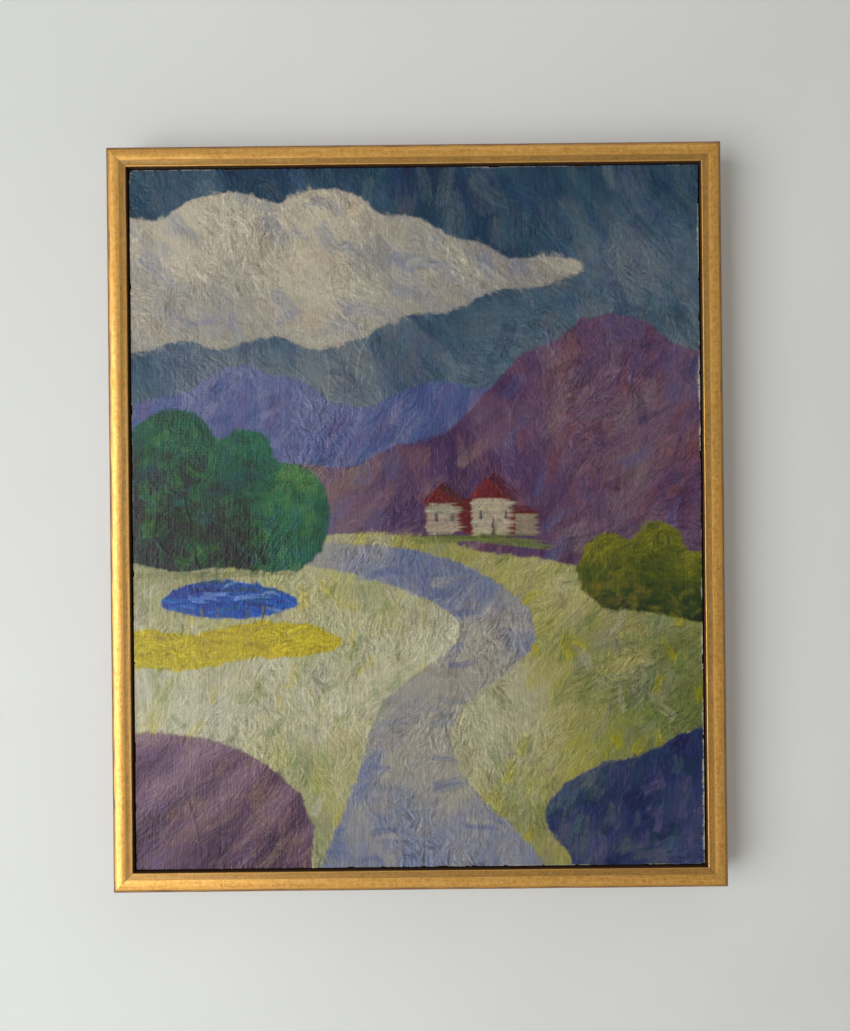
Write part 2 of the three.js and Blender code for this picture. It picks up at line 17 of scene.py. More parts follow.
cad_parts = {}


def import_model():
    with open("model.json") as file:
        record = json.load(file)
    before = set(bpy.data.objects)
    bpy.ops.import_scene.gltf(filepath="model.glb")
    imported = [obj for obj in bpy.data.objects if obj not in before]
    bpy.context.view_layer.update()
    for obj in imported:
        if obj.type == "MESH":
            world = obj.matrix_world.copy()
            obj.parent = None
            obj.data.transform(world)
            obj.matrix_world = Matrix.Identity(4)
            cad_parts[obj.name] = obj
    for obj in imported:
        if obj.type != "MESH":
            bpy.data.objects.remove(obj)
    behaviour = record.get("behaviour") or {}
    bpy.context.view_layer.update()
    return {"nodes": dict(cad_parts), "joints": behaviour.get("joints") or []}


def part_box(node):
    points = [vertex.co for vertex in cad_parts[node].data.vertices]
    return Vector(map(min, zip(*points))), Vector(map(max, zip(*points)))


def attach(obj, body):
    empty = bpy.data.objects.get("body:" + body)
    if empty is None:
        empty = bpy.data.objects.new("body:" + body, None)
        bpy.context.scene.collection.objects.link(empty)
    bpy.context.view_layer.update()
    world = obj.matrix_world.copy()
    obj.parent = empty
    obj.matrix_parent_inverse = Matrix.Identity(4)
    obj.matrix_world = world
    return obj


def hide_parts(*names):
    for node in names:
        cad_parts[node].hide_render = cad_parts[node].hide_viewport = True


Array = np.ndarray
Piece = bpy.types.Object
Material = bpy.types.Material
Socket = bpy.types.NodeSocket
MM = 0.001
LUMINANCE = (0.2126, 0.7152, 0.0722)
BODY = "framed_picture"
log = logging.getLogger("framed_picture")


def linear(hex_colour: str) -> tuple[float, float, float, float]:
    """Turns an sRGB hex colour into a linear one.

    Args:
        hex_colour: Six hex digits, such as "C99C4D".

    Returns:
        Red, green, blue and an alpha of 1.
    """
    channels = [int(hex_colour[i : i + 2], 16) / 255 for i in (0, 2, 4)]
    return (*[c / 12.92 if c <= 0.04045 else ((c + 0.055) / 1.055) ** 2.4 for c in channels], 1.0)


def palette(hex_colours: str) -> Array:
    """Turns a row of hex colours into linear ones.

    Args:
        hex_colours: Hex colours with spaces between them.

    Returns:
        One row of red, green and blue for each colour.
    """
    return np.array([linear(h)[:3] for h in hex_colours.split()], np.float32)


class Recipe:
    """A material while its nodes are being put together."""

    def __init__(self, name: str) -> None:
        """Starts with an empty node tree.

        Args:
            name: The material's common name and how its surface was made.
        """
        self.material = bpy.data.materials.new(name)
        self.material.use_nodes = True
        self.tree = self.material.node_tree
        self.tree.nodes.clear()

    def add(
        self, kind: str, inputs: list | dict = (), stops: list = (), out: int | str = 0, **settings: object
    ) -> Socket | None:
        """Adds a node with its settings and links.

        Args:
            kind: Blender's name for the node, after "ShaderNode".
            inputs: Values or sockets for its inputs, in order or by name or number.
            stops: Places and hex colours for a colour ramp.
            out: Which of its outputs to give back.
            **settings: The node's own properties.

        Returns:
            The output, where the node has any.
        """
        node = self.tree.nodes.new("ShaderNode" + kind)
        for name, value in settings.items():
            setattr(node, name, value)
        for name, value in inputs.items() if isinstance(inputs, dict) else enumerate(inputs):
            if isinstance(value, Socket):
                self.tree.links.new(value, node.inputs[name])
            else:
                node.inputs[name].default_value = value
        for number, (place, colour) in enumerate(stops):
            ramp = node.color_ramp.elements
            element = ramp[number] if number < 2 else ramp.new(place)
            element.position, element.color = place, linear(colour)
        return node.outputs[out] if len(node.outputs) else None

    def finish(self, inputs: dict, height: Socket, depth: float, clear: Socket | None = None) -> Material:
        """Ends the material in a Principled shader.

        Args:
            inputs: The shader's own values and links.
            height: What drives its bump.
            depth: How deep that bump is, in metres.
            clear: Where the surface lets the view through.

        Returns:
            The material.
        """
        bump = self.add("Bump", {"Height": height, "Distance": depth})
        shader = self.add("BsdfPrincipled", {**inputs, "Normal": bump})
        if clear is not None:
            shader = self.add("MixShader", [clear, shader, self.add("BsdfTransparent")])
        self.add("OutputMaterial", {"Surface": shader})
        return self.material

    def weave(self, place: Socket, gap: float, wander: float, detail: float, crossing: str) -> Socket:
        """Crosses two sets of threads.

        Args:
            place: The surface's own coordinates.
            gap: From one thread to the next, in metres.
            wander: How far the threads stray.
            detail: How finely they stray.
            crossing: The sum that joins the two sets.

        Returns:
            The height of the weave.
        """
        lie = {"Vector": place, "Scale": math.pi / 10 / gap, "Distortion": wander, "Detail": detail}
        threads = [self.add("TexWave", lie, out=1, bands_direction=axis) for axis in ("X", "Z")]
        return self.add("Math", threads, operation=crossing)


def new_piece(
    name: str, points: Array, faces: list, materials: list, body: str = BODY, smooth: float = 35
) -> Piece:
    """Makes a piece from points and faces, and lets it ride on its body.

    Args:
        name: The piece's name.
        points: Its vertices, in metres in the model's frame.
        faces: Groups of faces, each an array with one face a row.
        materials: Its materials, the first for all faces to begin with.
        body: The body that it rides on.
        smooth: The angle in degrees above which an edge stays sharp.

    Returns:
        The piece.
    """
    mesh = bpy.data.meshes.new(name)
    groups = [np.asarray(group, np.int32) for group in faces if len(group)]
    corners = np.concatenate([group.ravel() for group in groups])
    sizes = np.concatenate([np.full(len(group), group.shape[1]) for group in groups])
    mesh.vertices.add(len(points))
    mesh.vertices.foreach_set("co", np.asarray(points, np.float32).ravel())
    mesh.loops.add(len(corners))
    mesh.loops.foreach_set("vertex_index", corners)
    mesh.polygons.add(len(sizes))
    mesh.polygons.foreach_set("loop_start", np.concatenate([[0], np.cumsum(sizes)[:-1]]).astype(np.int32))
    mesh.polygons.foreach_set("use_smooth", np.ones(len(sizes), bool))
    mesh.update(calc_edges=True)
    mesh.validate()
    mesh.set_sharp_from_angle(angle=math.radians(smooth))
    for material in materials:
        mesh.materials.append(material)
    piece = bpy.data.objects.new(name, mesh)
    bpy.context.scene.collection.objects.link(piece)
    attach(piece, body)
    return piece


def add_attribute(piece: Piece, name: str, kind: str, values: Array) -> None:
    """Gives each vertex of a piece a value that its material reads.

    Args:
        piece: The piece.
        name: The attribute's name.
        kind: "FLOAT_COLOR" or "FLOAT_VECTOR".
        values: One row for each vertex.
    """
    attribute = piece.data.attributes.new(name, kind, "POINT")
    part = "color" if kind == "FLOAT_COLOR" else "vector"
    attribute.data.foreach_set(part, values.astype(np.float32).ravel())


def dress_node(node: Piece, material: Material, edge: float) -> None:
    """Gives a CAD node its material, and breaks its sharp edges a little.

    Args:
        node: The node's object.
        material: Its material.
        edge: How wide the broken edges are, in metres.
    """
    node.data.materials.clear()
    node.data.materials.append(material)
    bevel = node.modifiers.new("broken edges", "BEVEL")
    bevel.width, bevel.segments = edge, 2
    bevel.limit_method, bevel.angle_limit = "ANGLE", math.radians(40)
    bevel.harden_normals = True


def loft(rings: Array, closed_rings: bool = True) -> Array:
    """Joins neighbouring rings of points with four-sided faces.

    Args:
        rings: Vertex numbers, one ring a row.
        closed_rings: Whether each ring joins up with its own start.

    Returns:
        The faces.
    """
    after = np.roll(rings, -1, axis=1) if closed_rings else rings[:, 1:]
    here = rings if closed_rings else rings[:, :-1]
    return np.stack([here[:-1], after[:-1], after[1:], here[1:]], -1).reshape(-1, 4)


def skin(rings: int, sides: int, way: int = 1) -> list:
    """Joins rings of points, numbered in order, into a skin with a cap at each end.

    Args:
        rings: How many rings there are.
        sides: How many points each has.
        way: 1 or -1, which turns the faces over.

    Returns:
        Groups of faces.
    """
    numbers = np.arange(rings * sides).reshape(rings, sides)
    return [loft(numbers)[:, ::way], numbers[0][None, ::-way], numbers[-1][None, ::way]]


class Side(Enum):
    """The four sides of the frame, and how far each is turned about Y from the top one."""

    TOP = 0.0
    RIGHT = math.pi / 2
    BOTTOM = math.pi
    LEFT = -math.pi / 2

    @property
    def word(self) -> str:
        """The side's name in the CAD nodes."""
        return self.name.lower()

    @property
    def upright(self) -> bool:
        """Whether the side runs up and down."""
        return self in (Side.LEFT, Side.RIGHT)

    def turned(self, points: Array) -> Array:
        """Turns points drawn for the top side into their places on this one.

        Args:
            points: Points about the picture's centre, outwards along +Z.

        Returns:
            The turned points.
        """
        cos, sin = math.cos(self.value), math.sin(self.value)
        x, y, z = points[..., 0], points[..., 1], points[..., 2]
        return np.stack([x * cos + z * sin, y, z * cos - x * sin], -1)


@dataclass(frozen=True)
class Sizes:
    """The sizes that the pieces share with the CAD source."""

    picture_width: float = 0.500
    picture_height: float = 0.615
    frame_width: float = 0.540
    frame_height: float = 0.655
    centre_z: float = -0.1775
    frame_back: float = -0.006
    canvas_front: float = -0.0355
    canvas_back: float = -0.0143
    paint_level: float = -0.0361

    def across(self, side: Side) -> float:
        """The frame's length along a side."""
        return self.frame_height if side.upright else self.frame_width

    def outwards(self, side: Side) -> float:
        """The frame's size square to a side."""
        return self.frame_width if side.upright else self.frame_height


SIZES = Sizes()


def placed(points: Array) -> Array:
    """Puts points in millimetres about the picture's centre into the model's frame."""
    return points * MM + [0, 0, SIZES.centre_z]


# Finishes


@dataclass(frozen=True)
class BrushedOilPaint:
    """Oil paint brushed on linen: satin, with ridges from the bristles and the weave just showing through."""

    bristle_gap: float = 0.8 * MM
    bristle_run: float = 5 * MM
    thread_gap: float = 1.3 * MM
    patch: float = 45 * MM
    relief: float = 0.22 * MM

    def build(self) -> Material:
        """Makes the material. The pigment comes from the paint film's own vertices."""
        recipe = Recipe("oil paint, brushed")
        place = recipe.add("TexCoord", out="Object")
        pigment = recipe.add("Attribute", out="Color", attribute_name="pigment")
        stretch = (1 / self.bristle_gap, 1 / self.bristle_gap, 1 / self.bristle_run)
        lengthwise = recipe.add("Mapping", {"Vector": place, "Scale": stretch})
        fibres = recipe.add("TexNoise", {"Vector": lengthwise, "Scale": 1.0, "Detail": 3, "Distortion": 0.6})
        # Linen of about 18 threads to the centimetre, drawn half as fine so that it shows.
        weave = recipe.weave(place, self.thread_gap, 1.2, 1, "ADD")
        patches = recipe.add("TexNoise", {"Vector": place, "Scale": 1 / self.patch, "Detail": 2})
        # Lighter on the raised bristle fibres and darker between them, from the same noise as the bump:
        # partly the paint's own streaks, partly painted highlight and painted shade.
        shade = recipe.add("MapRange", [fibres, 0.3, 0.7, 0.84, 1.14])
        colour = recipe.add("VectorMath", {0: pigment, "Scale": shade}, operation="SCALE")
        gloss = recipe.add("MapRange", [patches, 0.35, 0.65, 0.28, 0.46])
        height = recipe.add("Math", [weave, 0.22, fibres], operation="MULTIPLY_ADD")
        return recipe.finish({"Base Color": colour, "Roughness": gloss, "IOR": 1.43}, height, self.relief)


@dataclass(frozen=True)
class GiltBole:
    """Metal leaf laid over red-brown bole and rubbed back: warm, satin, streaked along the moulding."""

    leaf_width: float = 80 * MM
    streak_run: float = 26 * MM
    streak_gap: float = 1.1 * MM
    mottle: float = 4 * MM
    speck: float = 1.3 * MM
    relief: float = 0.06 * MM

    def build(self) -> Material:
        """Makes the material. The moulding's vertices say how far along they lie and how worn they are."""
        recipe = Recipe("gold leaf over bole, rubbed")
        run = recipe.add("Attribute", out="Vector", attribute_name="run")
        wear = recipe.add("Attribute", out="Color", attribute_name="wear")
        rubbed, dull, dark = recipe.add("SeparateColor", [wear]).node.outputs
        stretch = (1 / self.streak_run, 1 / self.streak_gap, 1.0)
        lengthwise = recipe.add("Mapping", {"Vector": run, "Scale": stretch})
        streaks = recipe.add("TexNoise", {"Vector": lengthwise, "Scale": 1.0, "Detail": 5, "Roughness": 0.62})
        patches = {"Vector": run, "Scale": 1 / self.mottle, "Detail": 5, "Roughness": 0.6}
        mottle = recipe.add("TexNoise", patches)
        specks = recipe.add("TexNoise", {"Vector": run, "Scale": 1 / self.speck, "Detail": 2})
        leaves = {"Vector": run, "Scale": 1 / self.leaf_width, "Randomness": 0.3}
        leaf = recipe.add("TexVoronoi", leaves, out="Color", distance="CHEBYCHEV")
        streaked = recipe.add("Math", [streaks, 0.46], operation="MULTIPLY")
        tone = recipe.add("Math", [mottle, 0.54, streaked], operation="MULTIPLY_ADD")
        golds = [(0.30, "AC742F"), (0.41, "D89D45"), (0.53, "EDB358"), (0.68, "FACD80")]
        gold = recipe.add("ValToRGB", [tone], golds)
        thickness = recipe.add("MapRange", {"Value": leaf, "To Min": 0.94, "To Max": 1.04})
        colour = recipe.add("VectorMath", {0: gold, "Scale": thickness}, operation="SCALE")
        through = recipe.add("Math", [rubbed, streaks], operation="ADD")
        bole = recipe.add("MapRange", [through, 0.92, 1.18])
        settled = recipe.add("Math", [dull, mottle], operation="ADD")
        grime = recipe.add("MapRange", [settled, 0.70, 1.25, 0.0, 0.85])
        spots = recipe.add("MapRange", [specks, 0.61, 0.70, 0.0, 0.42])
        # Bole where the leaf is rubbed through, then grime, then dark specks, and a dark brown inner side:
        # its bole toning, darkened as painted shade in the gap.
        for amount, tint in ((bole, "7A4A28"), (grime, "5C4526"), (spots, "3F2A18"), (dark, "553617")):
            colour = recipe.add("Mix", {0: amount, 6: colour, 7: linear(tint)}, out=2, data_type="RGBA")
        covered = recipe.add("Math", [bole, dark], operation="MAXIMUM")
        metal = recipe.add("MapRange", [covered, 0.0, 1.0, 0.70, 0.0])
        gloss = recipe.add("MapRange", [tone, 0.3, 0.7, 0.50, 0.34])
        rough = recipe.add("Math", [gloss, dark], operation="MAXIMUM")
        shine = {"Metallic": metal, "Roughness": rough, "Coat Weight": 0.35, "Coat Roughness": 0.38}
        return recipe.finish({"Base Color": colour, **shine}, tone, self.relief)


@dataclass(frozen=True)
class PlainLinen:
    """Plain-woven linen, bare or primed: matt, with slubs, a fine even weave and a little yellowing."""

    name: str
    hollow: str
    thread: str
    stained: str
    thread_gap: float = 1.2 * MM
    slub: float = 6 * MM
    stain: float = 110 * MM
    relief: float = 0.16 * MM

    def build(self) -> Material:
        """Makes the material."""
        recipe = Recipe(self.name)
        place = recipe.add("TexCoord", out="Object")
        slubs = recipe.add("TexNoise", {"Vector": place, "Scale": 1 / self.slub, "Detail": 5})
        stains = recipe.add("TexNoise", {"Vector": place, "Scale": 1 / self.stain, "Detail": 5})
        # Threads of about 0.6 mm, drawn twice as wide so that they show.
        weave = recipe.weave(place, self.thread_gap, 1.4, 2, "MAXIMUM")
        uneven = recipe.add("Math", [slubs, 0.8, weave], operation="MULTIPLY_ADD")
        level = recipe.add("MapRange", [uneven, 0.5, 1.5])
        # The weave's low hollows are coloured darker and its raised threads lighter, from the same height as
        # the bump: painted shade between the threads.
        woven = recipe.add("ValToRGB", [level], [(0.1, self.hollow), (0.9, self.thread)])
        aged = recipe.add("ValToRGB", [stains], [(0.35, self.stained), (0.62, "FFFFFF")])
        both = {0: 1.0, 6: woven, 7: aged}
        colour = recipe.add("Mix", both, out=2, data_type="RGBA", blend_type="MULTIPLY")
        look = {"Base Color": colour, "Roughness": 0.88, "Sheen Weight": 0.12}
        return recipe.finish(look, uneven, self.relief)


@dataclass(frozen=True)
class PlanedWood:
    """Planed softwood or sawn beech, bare: pale with darker growth lines and a dull surface."""

    name: str
    early: str
    late: str
    along: str
    ring_gap: float = 5 * MM
    grain_run: float = 160 * MM
    fibre: float = 0.5 * MM
    fibre_run: float = 20 * MM
    relief: float = 0.06 * MM

    def build(self) -> Material:
        """Makes the material, its grain along the named axis."""
        recipe = Recipe(self.name)
        place = recipe.add("TexCoord", out="Object")
        lengthwise = [axis == self.along for axis in "XYZ"]
        ring_scale = [1 / (self.grain_run if along else self.ring_gap) for along in lengthwise]
        fibre_scale = [1 / (self.fibre_run if along else self.fibre) for along in lengthwise]
        ring_place = recipe.add("Mapping", {"Vector": place, "Scale": ring_scale})
        fibre_place = recipe.add("Mapping", {"Vector": place, "Scale": fibre_scale})
        bands = {"Vector": ring_place, "Scale": 0.22, "Distortion": 9.0, "Detail": 3, "Detail Scale": 0.35}
        growth = recipe.add("TexWave", bands, out=1, bands_direction="DIAGONAL", wave_profile="SAW")
        fibres = recipe.add("TexNoise", {"Vector": fibre_place, "Scale": 1.0, "Detail": 4})
        grain = recipe.add("Math", [fibres, 0.35, growth], operation="MULTIPLY_ADD")
        colour = recipe.add("ValToRGB", [grain], [(0.2, self.early), (0.75, self.early), (1.0, self.late)])
        return recipe.finish({"Base Color": colour, "Roughness": 0.72}, grain, self.relief)


@dataclass(frozen=True)
class PlatedSteel:
    """Steel with a thin plating: bright, with faint handling marks and a little dulling."""

    name: str
    bright: str
    dull: str
    roughness: float = 0.32
    cloud: float = 3 * MM
    relief: float = 0.02 * MM

    def build(self) -> Material:
        """Makes the material."""
        recipe = Recipe(self.name)
        place = recipe.add("TexCoord", out="Object")
        clouds = recipe.add("TexNoise", {"Vector": place, "Scale": 1 / self.cloud, "Detail": 5})
        colour = recipe.add("ValToRGB", [clouds], [(0.35, self.dull), (0.6, self.bright)])
        gloss = recipe.add("MapRange", [clouds, 0.0, 1.0, self.roughness + 0.2, self.roughness - 0.1])
        return recipe.finish({"Base Color": colour, "Metallic": 1.0, "Roughness": gloss}, clouds, self.relief)


@dataclass(frozen=True)
class MouldedRubber:
    """Moulded rubber: dark grey and matt, with dust in its fine grain."""

    grain: float = 0.7 * MM
    relief: float = 0.04 * MM

    def build(self) -> Material:
        """Makes the material."""
        recipe = Recipe("rubber, moulded")
        place = recipe.add("TexCoord", out="Object")
        grain = recipe.add("TexNoise", {"Vector": place, "Scale": 1 / self.grain, "Detail": 4})
        colour = recipe.add("ValToRGB", [grain], [(0.3, "3A3836"), (0.75, "5E5B57")])
        return recipe.finish({"Base Color": colour, "Roughness": 0.85}, grain, self.relief)


@dataclass(frozen=True)
class PaintedPlaster:
    """Emulsion rolled on plaster: off-white and matt with a very faint roller stipple. Seen from behind it
    lets the view and the light through, so that the back of the picture can be seen."""

    name: str
    colour: str
    darker: str
    one_sided: bool = False
    stipple: float = 3 * MM
    patches_a_metre: float = 2.2
    relief: float = 0.03 * MM

    def build(self) -> Material:
        """Makes the material."""
        recipe = Recipe(self.name)
        place = recipe.add("TexCoord", out="Object")
        stipple = recipe.add("TexNoise", {"Vector": place, "Scale": 1 / self.stipple, "Detail": 3})
        broad = recipe.add("TexNoise", {"Vector": place, "Scale": self.patches_a_metre, "Detail": 3})
        colour = recipe.add("ValToRGB", [broad], [(0.3, self.darker), (0.7, self.colour)])
        clear = None
        if self.one_sided:
            behind = recipe.add("NewGeometry", out="Backfacing")
            shadow = recipe.add("LightPath", out="Is Shadow Ray")
            clear = recipe.add("Math", [behind, shadow], operation="MAXIMUM")
        return recipe.finish({"Base Color": colour, "Roughness": 0.8}, stipple, self.relief, clear)


# The picture's own paint, worked out in millimetres on a grid of small cells


def ease(low: float, high: float, value: Array) -> Array:
    """Rises smoothly from 0 at low to 1 at high.

    Args:
        low: Where the rise starts.
        high: Where it ends.
        value: What to ease.

    Returns:
        The eased values.
    """
    t = np.clip((value - low) / (high - low), 0, 1)
    return t * t * (3 - 2 * t)


def soften(grid: Array, radius: float) -> Array:
    """Blurs a grid.

    Args:
        grid: The grid.
        radius: How far the blur reaches, in cells.

    Returns:
        The blurred grid.
    """
    reach = max(1, int(round(radius)))
    for axis in (0, 1):
        for _ in range(2):
            first = np.repeat(np.take(grid, [0], axis), reach + 1, axis)
            last = np.repeat(np.take(grid, [-1], axis), reach, axis)
            total = np.cumsum(np.concatenate([first, grid, last], axis), axis=axis, dtype=np.float64)
            size = grid.shape[axis]
            high = np.take(total, range(2 * reach + 1, 2 * reach + 1 + size), axis)
            grid = ((high - np.take(total, range(size), axis)) / (2 * reach + 1)).astype(np.float32)
    return grid


def noise(rng: np.random.Generator, *shape: int) -> Array:
    """Makes a grid of random numbers, 0 on average with a spread of 1."""
    return rng.standard_normal(shape).astype(np.float32)


def drift(shape: tuple[int, int], scale: float, rng: np.random.Generator) -> Array:
    """Makes a soft random field.

    Args:
        shape: Its rows and columns.
        scale: The size of its swells, in cells.
        rng: The source of random numbers.

    Returns:
        The field, about 0 on average.
    """
    knots = noise(rng, int(shape[0] / scale) + 3, int(shape[1] / scale) + 3)
    y, x = np.arange(shape[0], dtype=np.float32) / scale, np.arange(shape[1], dtype=np.float32) / scale
    row, column = y.astype(int), x.astype(int)
    fy, fx = ease(0, 1, y - row)[:, None], ease(0, 1, x - column)[None, :]
    upper = knots[row][:, column] * (1 - fx) + knots[row][:, column + 1] * fx
    lower = knots[row + 1][:, column] * (1 - fx) + knots[row + 1][:, column + 1] * fx
    return upper * (1 - fy) + lower * fy


@dataclass(frozen=True)
class Brush:
    """A brush and how it is handled. Lengths are in millimetres and angles in degrees."""

    cover: float
    width: tuple[float, float]
    length: tuple[float, float]
    opacity: float
    body: float
    groove: float
    dryness: float
    softness: float
    pickup: float
    scatter: float = 0.10
    wobble: float = 14
    hue: float = 0.03


LAY_IN = Brush(2.2, (14, 26), (36, 80), 0.75, 0.02, 0.012, 0.0, 0.40, 0.15, hue=0.02)
BODY_COLOUR = Brush(2.6, (8, 15), (22, 50), 0.60, 0.04, 0.030, 0.25, 0.45, 0.40)
GLAZE = Brush(1.3, (12, 24), (20, 50), 0.50, 0.02, 0.020, 0.35, 0.55, 0.35, wobble=16, hue=0.02)
SCUMBLE = Brush(2.2, (8, 15), (14, 34), 0.42, 0.04, 0.030, 0.75, 0.60, 0.20, 0.15, 22, 0.05)
COMB = Brush(2.6, (8, 16), (14, 40), 0.16, 0.015, 0.040, 0.30, 0.50, 0.70, wobble=24, hue=0.02)
DAB = Brush(1.0, (4, 8), (8, 20), 0.90, 0.12, 0.035, 0.15, 0.45, 0.25)
FRINGE = Brush(1.5, (3.5, 8), (8, 24), 0.70, 0.06, 0.035, 0.50, 0.50, 0.15, 0.14, 34, 0.04)
RIDGE = Brush(1.0, (2.2, 3.4), (16, 70), 0.62, 0.55, 0.02, 0.1, 0.9, 1.0)
WALL = Brush(1.0, (6, 6), (20, 20), 1.0, 0.10, 0.030, 0.0, 0.25, 0.05)


@dataclass(frozen=True)
class Passage:
    """One passage of the picture: its colours from dark to light, and how its marks and light run.

    Angles are in degrees and places in millimetres from the picture's centre. Rise and lean say how much
    lighter the passage gets upwards and to the right. Crowns are the round tops of trees: x, z and radius.
    Vanish is where ploughed rows meet, and rows how strongly they show. The slot is the record's, where its
    name isn't the passage's own.
    """

    name: str
    tones: str
    glazes: str
    angle: float
    spread: float
    edge: float = 0.3
    rise: float = 0.0
    lean: float = 0.0
    scale: float = 1.0
    crowns: tuple = ()
    vanish: tuple[float, float] | None = None
    rows: float = 0.0
    slot: str = ""


PASSAGES = [
    Passage(
        "sky", "293243 2E3B48 35434E 3B4B56 45555E 525E66 5E686E 6B7070",
        "32484E 4E5265 6E6A60 3A4362 585E5E", -70, 35, 0.2, rise=-0.55, lean=0.1,
    ),
    Passage(
        "cloud", "717176 7E7D7A 8A867E 938F82 9D9788 A7A08F B1A995", "7A8090 A39378 887E72 AFA999", -50,
        40, 0.4, rise=0.5, lean=-0.25,
    ),
    Passage(
        "far_hills", "3B425E 434A68 4D5471 575C77 63667E 6F7183", "665974 405979 72798D", 65, 35, 0.4,
        rise=0.3, lean=-0.2,
    ),
    Passage(
        "near_hill", "302A41 3A3045 45374A 4F3F53 5C4A58 66545F 716361", "414A6A 6B484D 765C51 513346", 75,
        35, 0.4, rise=0.25, lean=-0.3,
    ),
    Passage(
        "meadow_left", "74765A 828266 908D6E 9C9876 A6A17E A29E84 B0AC94",
        "A89E50 76865E A8A692 8E8456 8A8478", 84, 25, 0.2, rise=-0.1, lean=-0.2, slot="meadow",
    ),
    Passage(
        "meadow_right", "5F6445 6C704C 7B7B59 88845D 918C5D 99936C A09C82",
        "9C933F 687759 999580 7D7049 737177", 70, 35, 0.3, rise=0.2, slot="meadow",
    ),
    Passage("sunlit_strip", "796E28 8A7B2C 998830 A6973F ADA05A", "B19E42 7F7F3B", 2, 8, 0.5, scale=0.6),
    Passage(
        "river", "484F68 565D72 646A7B 727682 7F7E82 89867E 928D80", "4F5A7D 7D7166 686F71 90897F", 84, 20,
        0.6, rise=-0.15, lean=-0.25,
    ),
    Passage("pond", "1C2E5A 22396E 2B4780 37548C 4E6898", "2C566E 4A5890", 0, 8, 0.7, scale=0.5),
    Passage(
        "furrows", "463741 513F4A 5D4A54 68535C 725D64 7B686A", "634D5C 5F4F6D 796354", 60, 10, 0.0,
        scale=0.6, vanish=(60.0, -40.0), rows=0.30,
    ),
    Passage(
        "bank", "24293D 2C3147 353A52 3F4458 494E63 55586D", "31464B 4C3F55 5A5F58", 60, 30, 0.5,
        rise=0.35, scale=0.8,
    ),
    Passage(
        "copse", "2A321A 353D21 424827 515530 626237 747042", "535C30 303F35 7B6E35", 70, 40, 0.5,
        scale=0.5, crowns=((168, -44, 34), (206, -34, 40), (244, -52, 40)),
    ),
    Passage(
        "grove", "12241F 18332A 22433A 2E5242 3E6049 54704E", "24444C 4E5C34 1A3A30", 70, 40, 0.4,
        scale=0.55, crowns=((-262, 22, 60), (-216, 52, 48), (-160, 34, 46), (-112, 4, 44), (-190, -14, 50)),
    ),
    Passage("roofs", "3E1E24 4C262A 5C3032 683A38", "6A3E38 54303A", 20, 15, 0.6, lean=-0.3, scale=0.35),
]


@dataclass(frozen=True)
class LooseMarks:
    """Loose marks of a few colours scattered over one passage."""

    passage: str
    colours: str
    count: int
    width: tuple[float, float]
    length: tuple[float, float]
    angle: float
    wobble: float
    opacity: float


LOOSE_MARKS = [
    LooseMarks("sky", "253042 455A62 5E6665 3B455E", 70, (9, 18), (24, 60), -64, 22, 0.40),
    LooseMarks("cloud", "B2AB97 9F978C 727886 888074", 70, (8, 16), (18, 44), -48, 34, 0.42),
    LooseMarks("far_hills", "767486 3E4C6C 594F6C", 46, (6, 12), (16, 36), 62, 24, 0.50),
    LooseMarks("near_hill", "766361 332E46 4F5671 664645 412E3F", 90, (7, 15), (20, 46), 64, 26, 0.42),
    LooseMarks("meadow_left", "6E7E50 A89C4C 8A8478 B0AC98 5E6E4E", 90, (6, 12), (12, 30), 80, 30, 0.45),
    LooseMarks("meadow_right", "5F6E47 9C913C 757164 9E9A86 505F45", 70, (6, 12), (12, 30), 76, 30, 0.45),
    LooseMarks("river", "454F71 948F82 6B7178 7D766A", 60, (4, 9), (14, 34), 2, 8, 0.50),
    LooseMarks("furrows", "41333E 6B585C 7D6B5F", 36, (5, 9), (24, 50), 47, 9, 0.40),
    LooseMarks("bank", "22363F 4B5A57 5A5266 24273A", 50, (6, 12), (12, 26), 66, 30, 0.50),
    LooseMarks("grove", "18342C 46674A 5C7648 11211C 2A5353", 150, (7, 14), (9, 22), 60, 55, 0.38),
    LooseMarks("copse", "28351D 656734 7B743F 394635", 70, (5, 10), (8, 18), 60, 55, 0.42),
    LooseMarks("pond", "7A8CB0 1A2C58 3E66A0 20464E", 26, (2.5, 5), (12, 34), 0, 4, 0.70),
    LooseMarks("sunlit_strip", "B4A658 7F702C 9B9358", 30, (3, 6), (14, 34), 2, 7, 0.60),
]


@dataclass(frozen=True)
class Mark:
    """One placed stroke: its middle from the picture's centre, its angle, size, colour, opacity and brush."""

    x: float
    z: float
    angle: float
    length: float
    width: float
    colour: str
    opacity: float = 0.9
    brush: Brush = DAB


def wall(x: float, low: float, high: float, length: float, colours: tuple[str, str]) -> list[Mark]:
    """Lays a house's wall in with level strokes from the ground up.

    Args:
        x: The wall's middle.
        low: Its foot.
        high: Its top.
        length: Its length.
        colours: Its colours, in turn.

    Returns:
        The strokes.
    """
    count = int((high - low) / 3.2) + 1
    heights = [low + 2.5 + k * (high - low - 5) / max(count - 1, 1) for k in range(count)]
    return [Mark(x, z, 0, length, 6, colours[k % 2], 0.96, WALL) for k, z in enumerate(heights)]


